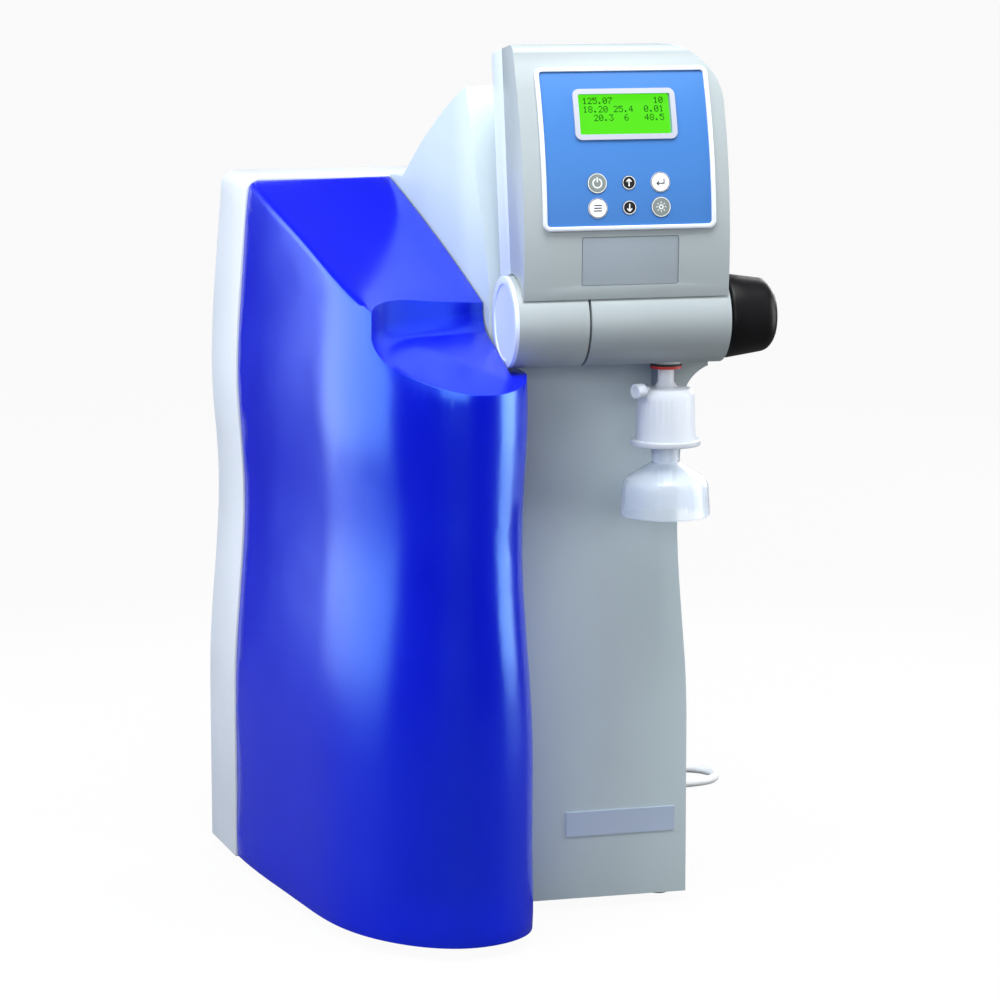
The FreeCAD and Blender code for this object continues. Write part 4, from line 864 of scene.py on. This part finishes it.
def close_tree(tree, geometry, leave, material):
    """Makes instances real, sets the finish and leaves the tree."""
    real = tree.nodes.new("GeometryNodeRealizeInstances")
    paint = tree.nodes.new("GeometryNodeSetMaterial")
    paint.inputs["Material"].default_value = material
    tree.links.new(geometry, real.inputs["Geometry"])
    tree.links.new(real.outputs["Geometry"], paint.inputs["Geometry"])
    tree.links.new(paint.outputs["Geometry"], leave.inputs["Geometry"])


def grown(name, points, tree, **values):
    """A plain mesh that a tree makes from points, with the tree's inputs set by name."""
    mesh = bpy.data.meshes.new(name)
    mesh.from_pydata([tuple(point) for point in points], [], [])
    item = placed(name, mesh)
    modifier = item.modifiers.new(tree.name, "NODES")
    modifier.node_group = tree
    for socket in tree.interface.items_tree:
        key = socket.name.replace(" ", "_").lower()
        if socket.item_type == "SOCKET" and socket.in_out == "INPUT" and key in values:
            modifier[socket.identifier] = values[key]
    return baked(item)


def on_points(tree, entry, geometry):
    """One instance of some geometry on each of the tree's points; gives the node."""
    spread = tree.nodes.new("GeometryNodeInstanceOnPoints")
    tree.links.new(entry.outputs["Geometry"], spread.inputs["Points"])
    tree.links.new(geometry, spread.inputs["Instance"])
    return spread


# %% Geometry Nodes tree: one square for each dot
dot_tree, entry, leave = geometry_tree(
    "display_dots",
    ("Dot Size", "NodeSocketFloat", 0.0005),
    ("Tilt", "NodeSocketFloat", 0.0),
)
square = dot_tree.nodes.new("GeometryNodeMeshGrid")
square.inputs["Vertices X"].default_value = 2
square.inputs["Vertices Y"].default_value = 2
for side in ("Size X", "Size Y"):
    dot_tree.links.new(entry.outputs["Dot Size"], square.inputs[side])
turn = dot_tree.nodes.new("ShaderNodeCombineXYZ")
dot_tree.links.new(entry.outputs["Tilt"], turn.inputs["X"])
spread = on_points(dot_tree, entry, square.outputs["Mesh"])
dot_tree.links.new(turn.outputs["Vector"], spread.inputs["Rotation"])
close_tree(dot_tree, spread.outputs["Instances"], leave, digit_dark)
print("tree", dot_tree.name, "with", len(dot_tree.nodes), "nodes")

# %% The digits
FACE_RAKE = 7.8
FACE_SLOPE = math.radians(90 - LEAN - FACE_RAKE)
DOT_SIZE = 0.57 * MM
digits = grown("display_digits", dots, dot_tree, dot_size=DOT_SIZE, tilt=FACE_SLOPE)
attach(digits, "display_head")
print("digits", len(digits.data.polygons), "squares")

# %% [markdown]
# ## The pleated filter element
# Inside the frosted capsule sits a strip of membrane folded to and fro. Its shape is a rule: every
# second corner of a round tube stands further in. A tree makes it from a cylinder, with the
# radius, the depth of a pleat and their number as inputs.

# %% Geometry Nodes tree: pleats
pleat_tree, entry, leave = geometry_tree(
    "pleated_element",
    ("Radius", "NodeSocketFloat", 0.014),
    ("Height", "NodeSocketFloat", 0.026),
    ("Pleat Depth", "NodeSocketFloat", 0.003),
    ("Corners", "NodeSocketInt", 72),
)
tube = pleat_tree.nodes.new("GeometryNodeMeshCylinder")
tube.inputs["Side Segments"].default_value = 1
pleat_tree.links.new(entry.outputs["Corners"], tube.inputs["Vertices"])
pleat_tree.links.new(entry.outputs["Radius"], tube.inputs["Radius"])
pleat_tree.links.new(entry.outputs["Height"], tube.inputs["Depth"])
index = pleat_tree.nodes.new("GeometryNodeInputIndex")
parity = arithmetic(pleat_tree, "MODULO", index.outputs["Index"], 2)
inset = arithmetic(pleat_tree, "MULTIPLY", parity, entry.outputs["Pleat Depth"])
spot = pleat_tree.nodes.new("GeometryNodeInputPosition")
flat = pleat_tree.nodes.new("ShaderNodeVectorMath")
flat.operation = "MULTIPLY"
flat.inputs[1].default_value = (-1, -1, 0)
outward = pleat_tree.nodes.new("ShaderNodeVectorMath")
outward.operation = "NORMALIZE"
shift = pleat_tree.nodes.new("ShaderNodeVectorMath")
shift.operation = "SCALE"
pleat_tree.links.new(spot.outputs["Position"], flat.inputs[0])
pleat_tree.links.new(flat.outputs["Vector"], outward.inputs[0])
pleat_tree.links.new(outward.outputs["Vector"], shift.inputs["Vector"])
pleat_tree.links.new(inset, shift.inputs["Scale"])
fold = pleat_tree.nodes.new("GeometryNodeSetPosition")
pleat_tree.links.new(tube.outputs["Mesh"], fold.inputs["Geometry"])
pleat_tree.links.new(shift.outputs["Vector"], fold.inputs["Offset"])
spread = on_points(pleat_tree, entry, fold.outputs["Geometry"])
close_tree(pleat_tree, spread.outputs["Instances"], leave, filter_white)
print("tree", pleat_tree.name, "with", len(pleat_tree.nodes), "nodes")

# %% The filter element
PLEAT_DEPTH = 2.5 * MM
PLEAT_CORNERS = 84
low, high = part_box("capsule_element")
pleats = grown(
    "pleated_element", [(low + high) / 2], pleat_tree,
    radius=(high.x - low.x) / 2, height=high.z - low.z,
    pleat_depth=PLEAT_DEPTH, corners=PLEAT_CORNERS)
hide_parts("capsule_element")
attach(pleats, "cabinet")
print("pleats", len(pleats.data.polygons), "faces")

# %% [markdown]
# ## Panel screws
# Four pan-head screws with a cross recess hold the rear panel. One is turned and cut in mesh code,
# and a tree puts it on the four places, which are the middles of the screws in the imported node.
# The cross could be bump in the finish, but a real recess keeps its shape in the mesh itself.

# %% One screw head
SCREW_RINGS = 6
SCREW_SIDES = 24


def screw_head(radius, rise):
    """A domed head that faces back, as a mesh."""
    work = bmesh.new()
    rows = []
    for level in range(SCREW_RINGS):
        angle = math.pi / 2 * level / SCREW_RINGS
        size = radius * math.cos(angle)
        up = rise * math.sin(angle)
        row = []
        for side in range(SCREW_SIDES):
            turn = 2 * math.pi * side / SCREW_SIDES
            row.append(work.verts.new((size * math.cos(turn), up, size * math.sin(turn))))
        rows.append(row)
    for lower, upper in zip(rows, rows[1:]):
        for side in range(SCREW_SIDES):
            after = (side + 1) % SCREW_SIDES
            work.faces.new((lower[side], upper[side], upper[after], lower[after]))
    work.faces.new(rows[-1])
    work.faces.new(list(reversed(rows[0])))
    bmesh.ops.recalc_face_normals(work, faces=work.faces)
    return mesh_of("screw_head", work)


def add_block(work, size, place):
    """Adds a box of some size, centred on a place."""
    block = bmesh.ops.create_cube(work, size=1)["verts"]
    bmesh.ops.scale(work, vec=size, verts=block)
    bmesh.ops.translate(work, vec=place, verts=block)


def cross_cutter(reach, width, depth, start):
    """Two crossed bars that cut the recess."""
    work = bmesh.new()
    for across, up in ((reach, width), (width, reach)):
        add_block(work, (across, depth, up), (0, start, 0))
    return mesh_of("cross_cutter", work)


# %% The recess
HEAD_RADIUS = 3 * MM
RECESS_REACH = 3.4 * MM
RECESS_WIDTH = 0.8 * MM
# The bars are as long as the head is high, and their middle lies just above its top.
RECESS_START = 1.05
low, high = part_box("panel_screws")
head_rise = high.y - low.y
screw = placed("screw_head", screw_head(HEAD_RADIUS, head_rise))
bars_mesh = cross_cutter(RECESS_REACH, RECESS_WIDTH, head_rise, head_rise * RECESS_START)
cutter = placed("cross_cutter", bars_mesh)
recess = screw.modifiers.new("recess", "BOOLEAN")
recess.operation = "DIFFERENCE"
recess.object = cutter
# The two bars of the cross run through each other.
recess.use_self = True
baked(screw)
smooth_shade(screw.data)
print("screw head", len(screw.data.polygons), "faces")

# %% Geometry Nodes tree: screws on their places
screw_tree, entry, leave = geometry_tree("panel_screws_tree", ("Screw", "NodeSocketObject", None))
chosen = screw_tree.nodes.new("GeometryNodeObjectInfo")
screw_tree.links.new(entry.outputs["Screw"], chosen.inputs["Object"])
spread = on_points(screw_tree, entry, chosen.outputs["Geometry"])
close_tree(screw_tree, spread.outputs["Instances"], leave, steel)

places = []
for across in (low.x + HEAD_RADIUS, high.x - HEAD_RADIUS):
    for height in (low.z + HEAD_RADIUS, high.z - HEAD_RADIUS):
        places.append((across, low.y, height))
screws = grown("panel_screw_heads", places, screw_tree, screw=screw)
smooth_shade(screws.data)
for tool in (screw, cutter):
    bpy.data.objects.remove(tool)
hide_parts("panel_screws")
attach(screws, "cabinet")
print("screws", len(places))

# %% [markdown]
# ## Pins of the power inlet
# Three flat pins stand in the socket of the mains inlet. Three bevelled blocks in one mesh are
# enough: nothing about them repeats often enough to be worth a tree.

# %% Inlet pins
PIN_SPOTS = [(-6, -1.5), (0, 2.5), (6, -1.5)]
PIN_SIZE = (1.6 * MM, 5 * MM, 4 * MM)
PIN_DEPTH = 3 * MM
PIN_EDGE = 0.3 * MM
low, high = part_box("power_inlet")
middle = (low + high) / 2
work = bmesh.new()
for across, up in PIN_SPOTS:
    place = (middle.x + across * MM, high.y - PIN_DEPTH, middle.z + up * MM)
    add_block(work, PIN_SIZE, place)
bmesh.ops.bevel(
    work, geom=work.edges[:], offset=PIN_EDGE, segments=2, affect="EDGES", clamp_overlap=True)
pins = placed("inlet_pins", mesh_of("inlet_pins", work))
wear(pins, steel)
smooth_shade(pins.data)
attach(pins, "cabinet")
print("pins", len(pins.data.polygons), "faces")

# %% [markdown]
# ## The floor
# A plain pale floor carries a soft shadow. What it mirrors into the door is kept low, and lower
# still past the bench's edge, because a deep blue door only looks deep when it has something dark
# to reflect. The change of tone is smooth, so that no line shows in the gloss.

# %% Floor
FLOOR_SIZE = 60
FLOOR_ROUGHNESS = 0.9
BENCH_EDGE = (0.75, 1.15)
BENCH_TONE = 0.10
ROOM_TONE = 0.05
floor_mesh = bpy.data.meshes.new("bench")
ways = [(-1, -1), (1, -1), (1, 1), (-1, 1)]
corners = [(across * FLOOR_SIZE, along * FLOOR_SIZE, 0) for across, along in ways]
floor_mesh.from_pydata(corners, [], [(0, 1, 2, 3)])
bench = placed("bench", floor_mesh)

bench_white = bpy.data.materials.new("bench_white")
bench_white.use_nodes = True
tree = bench_white.node_tree
paint = tree.nodes["Principled BSDF"]
paint.inputs["Roughness"].default_value = FLOOR_ROUGHNESS
paint.inputs["Specular IOR Level"].default_value = 0
where = tree.nodes.new("ShaderNodeTexCoord").outputs["Object"]
reach = tree.nodes.new("ShaderNodeVectorMath")
reach.operation = "LENGTH"
tree.links.new(where, reach.inputs[0])
edge = tree.nodes.new("ShaderNodeMapRange")
edge.interpolation_type = "SMOOTHSTEP"
edge.inputs["From Min"].default_value = BENCH_EDGE[0]
edge.inputs["From Max"].default_value = BENCH_EDGE[1]
edge.inputs["To Min"].default_value = BENCH_TONE
edge.inputs["To Max"].default_value = ROOM_TONE
tree.links.new(reach.outputs["Value"], edge.inputs["Value"])
tone = tree.nodes.new("ShaderNodeCombineColor")
for channel in ("Red", "Green", "Blue"):
    tree.links.new(edge.outputs["Result"], tone.inputs[channel])
tree.links.new(tone.outputs["Color"], paint.inputs["Base Color"])
wear(bench, bench_white)
print("floor", 2 * FLOOR_SIZE, "m wide")

# %% [markdown]
# A floor that is lit like the object never comes out as white as a page. More light would burn
# out the white housing. Instead the Light Path node tells which rays come straight from the
# camera, or through clear plastic, and for those most of the floor's colour is a white of its own.
# The rest still comes from the lamps, so the shadow stays.

# %% What the floor shows to the camera and through clear pieces
PAGE_GLOW = 1.32
WHITE_SHARE = 0.72
MIRROR_SHARE = 0.02


def seen_share(tree, paths):
    """A socket that is 1 for rays from the camera or through clear plastic."""
    through = paths.outputs["Is Transmission Ray"]
    return arithmetic(tree, "MAXIMUM", paths.outputs["Is Camera Ray"], through)


def blend_shaders(tree, share, first, second, leave):
    """Mixes two shaders by a share and sends them to an output node."""
    blend = tree.nodes.new("ShaderNodeMixShader")
    tree.links.new(share, blend.inputs["Fac"])
    tree.links.new(first, blend.inputs[1])
    tree.links.new(second, blend.inputs[2])
    tree.links.new(blend.outputs["Shader"], tree.nodes[leave].inputs["Surface"])


glow = tree.nodes.new("ShaderNodeEmission")
glow.inputs["Strength"].default_value = PAGE_GLOW
paths = tree.nodes.new("ShaderNodeLightPath")
direct = arithmetic(tree, "MULTIPLY", seen_share(tree, paths), WHITE_SHARE)
mirrored = paths.outputs["Is Glossy Ray"]
share = arithmetic(tree, "MULTIPLY_ADD", mirrored, MIRROR_SHARE, direct)
blend_shaders(tree, share, paint.outputs["BSDF"], glow.outputs["Emission"], "Material Output")
print("floor's own white", WHITE_SHARE)

# %% [markdown]
# ## The world
# Round the bench lies a dim, slightly cool room, which fills the shadows a little. The camera sees
# white there too, by the same Light Path rule as on the floor, so that a view from low down has
# no grey band above the bench.

# %% World
ROOM_COLOUR = (0.93, 0.95, 1.0, 1)
ROOM_LIGHT = 0.12
PAGE_WHITE = 0.95
world = bpy.data.worlds.new("studio")
scene.world = world
world.use_nodes = True
tree = world.node_tree
fill = tree.nodes["Background"]
fill.inputs["Color"].default_value = ROOM_COLOUR
fill.inputs["Strength"].default_value = ROOM_LIGHT
page = tree.nodes.new("ShaderNodeBackground")
page.inputs["Color"].default_value = (1, 1, 1, 1)
page.inputs["Strength"].default_value = PAGE_WHITE
seen = seen_share(tree, tree.nodes.new("ShaderNodeLightPath"))
blend_shaders(
    tree, seen, fill.outputs["Background"], page.outputs["Background"], "World Output")
print("room light", ROOM_LIGHT)

# %% [markdown]
# ## Lamps
# Every lamp is a soft rectangle, because what a glossy door shows is the shape of its lamps. A
# tall one on the left draws the broad streak down the door, a strip on the right the narrow one.
# A small high lamp lights the left cap, a wide weak one fills the front, and one above makes the
# top surfaces the brightest. The sixth keeps the back from going grey. The two on the left are a
# little cool, and all are hidden from the camera.

# %% Lamps


def lamp(name, place, aim, width, height, power, colour):
    """A soft rectangular lamp that faces a point."""
    data = bpy.data.lights.new(name, "AREA")
    data.shape = "RECTANGLE"
    data.size = width
    data.size_y = height
    data.energy = power
    data.color = colour
    item = placed(name, data)
    item.location = place
    item.rotation_euler = (Vector(aim) - Vector(place)).to_track_quat("-Z", "Y").to_euler()
    item.visible_camera = False


MIDDLE = (0, 0, 0.28)
NEUTRAL = (1, 1, 1)
COOL = (0.86, 0.92, 1.0)
# Each row: the lamp, its place, what it faces, its width and height, its power and its colour.
LAMPS = [
    ("left_softbox", (-1.03, 0.38, 0.6), (-0.1, -0.1, 0.35), 1.25, 1.2, 15, COOL),
    ("left_high", (-0.75, -0.60, 0.75), (-0.05, -0.1, 0.44), 0.4, 0.4, 4.5, COOL),
    ("right_strip", (1.15, -0.30, 0.45), (0, -0.1, 0.3), 0.6, 0.9, 10.5, NEUTRAL),
    ("front_fill", (-0.5, -2.3, 0.75), MIDDLE, 2.0, 0.8, 16, NEUTRAL),
    ("top_softbox", (0.0, -0.5, 1.6), MIDDLE, 1.1, 0.7, 30, NEUTRAL),
    ("back_softbox", (1.35, 1.35, 0.9), (0, 0.1, 0.3), 0.9, 0.9, 24, NEUTRAL),
]
for row in LAMPS:
    lamp(*row)
print(len(LAMPS), "lamps")

# %% Close
bpy.context.view_layer.update()
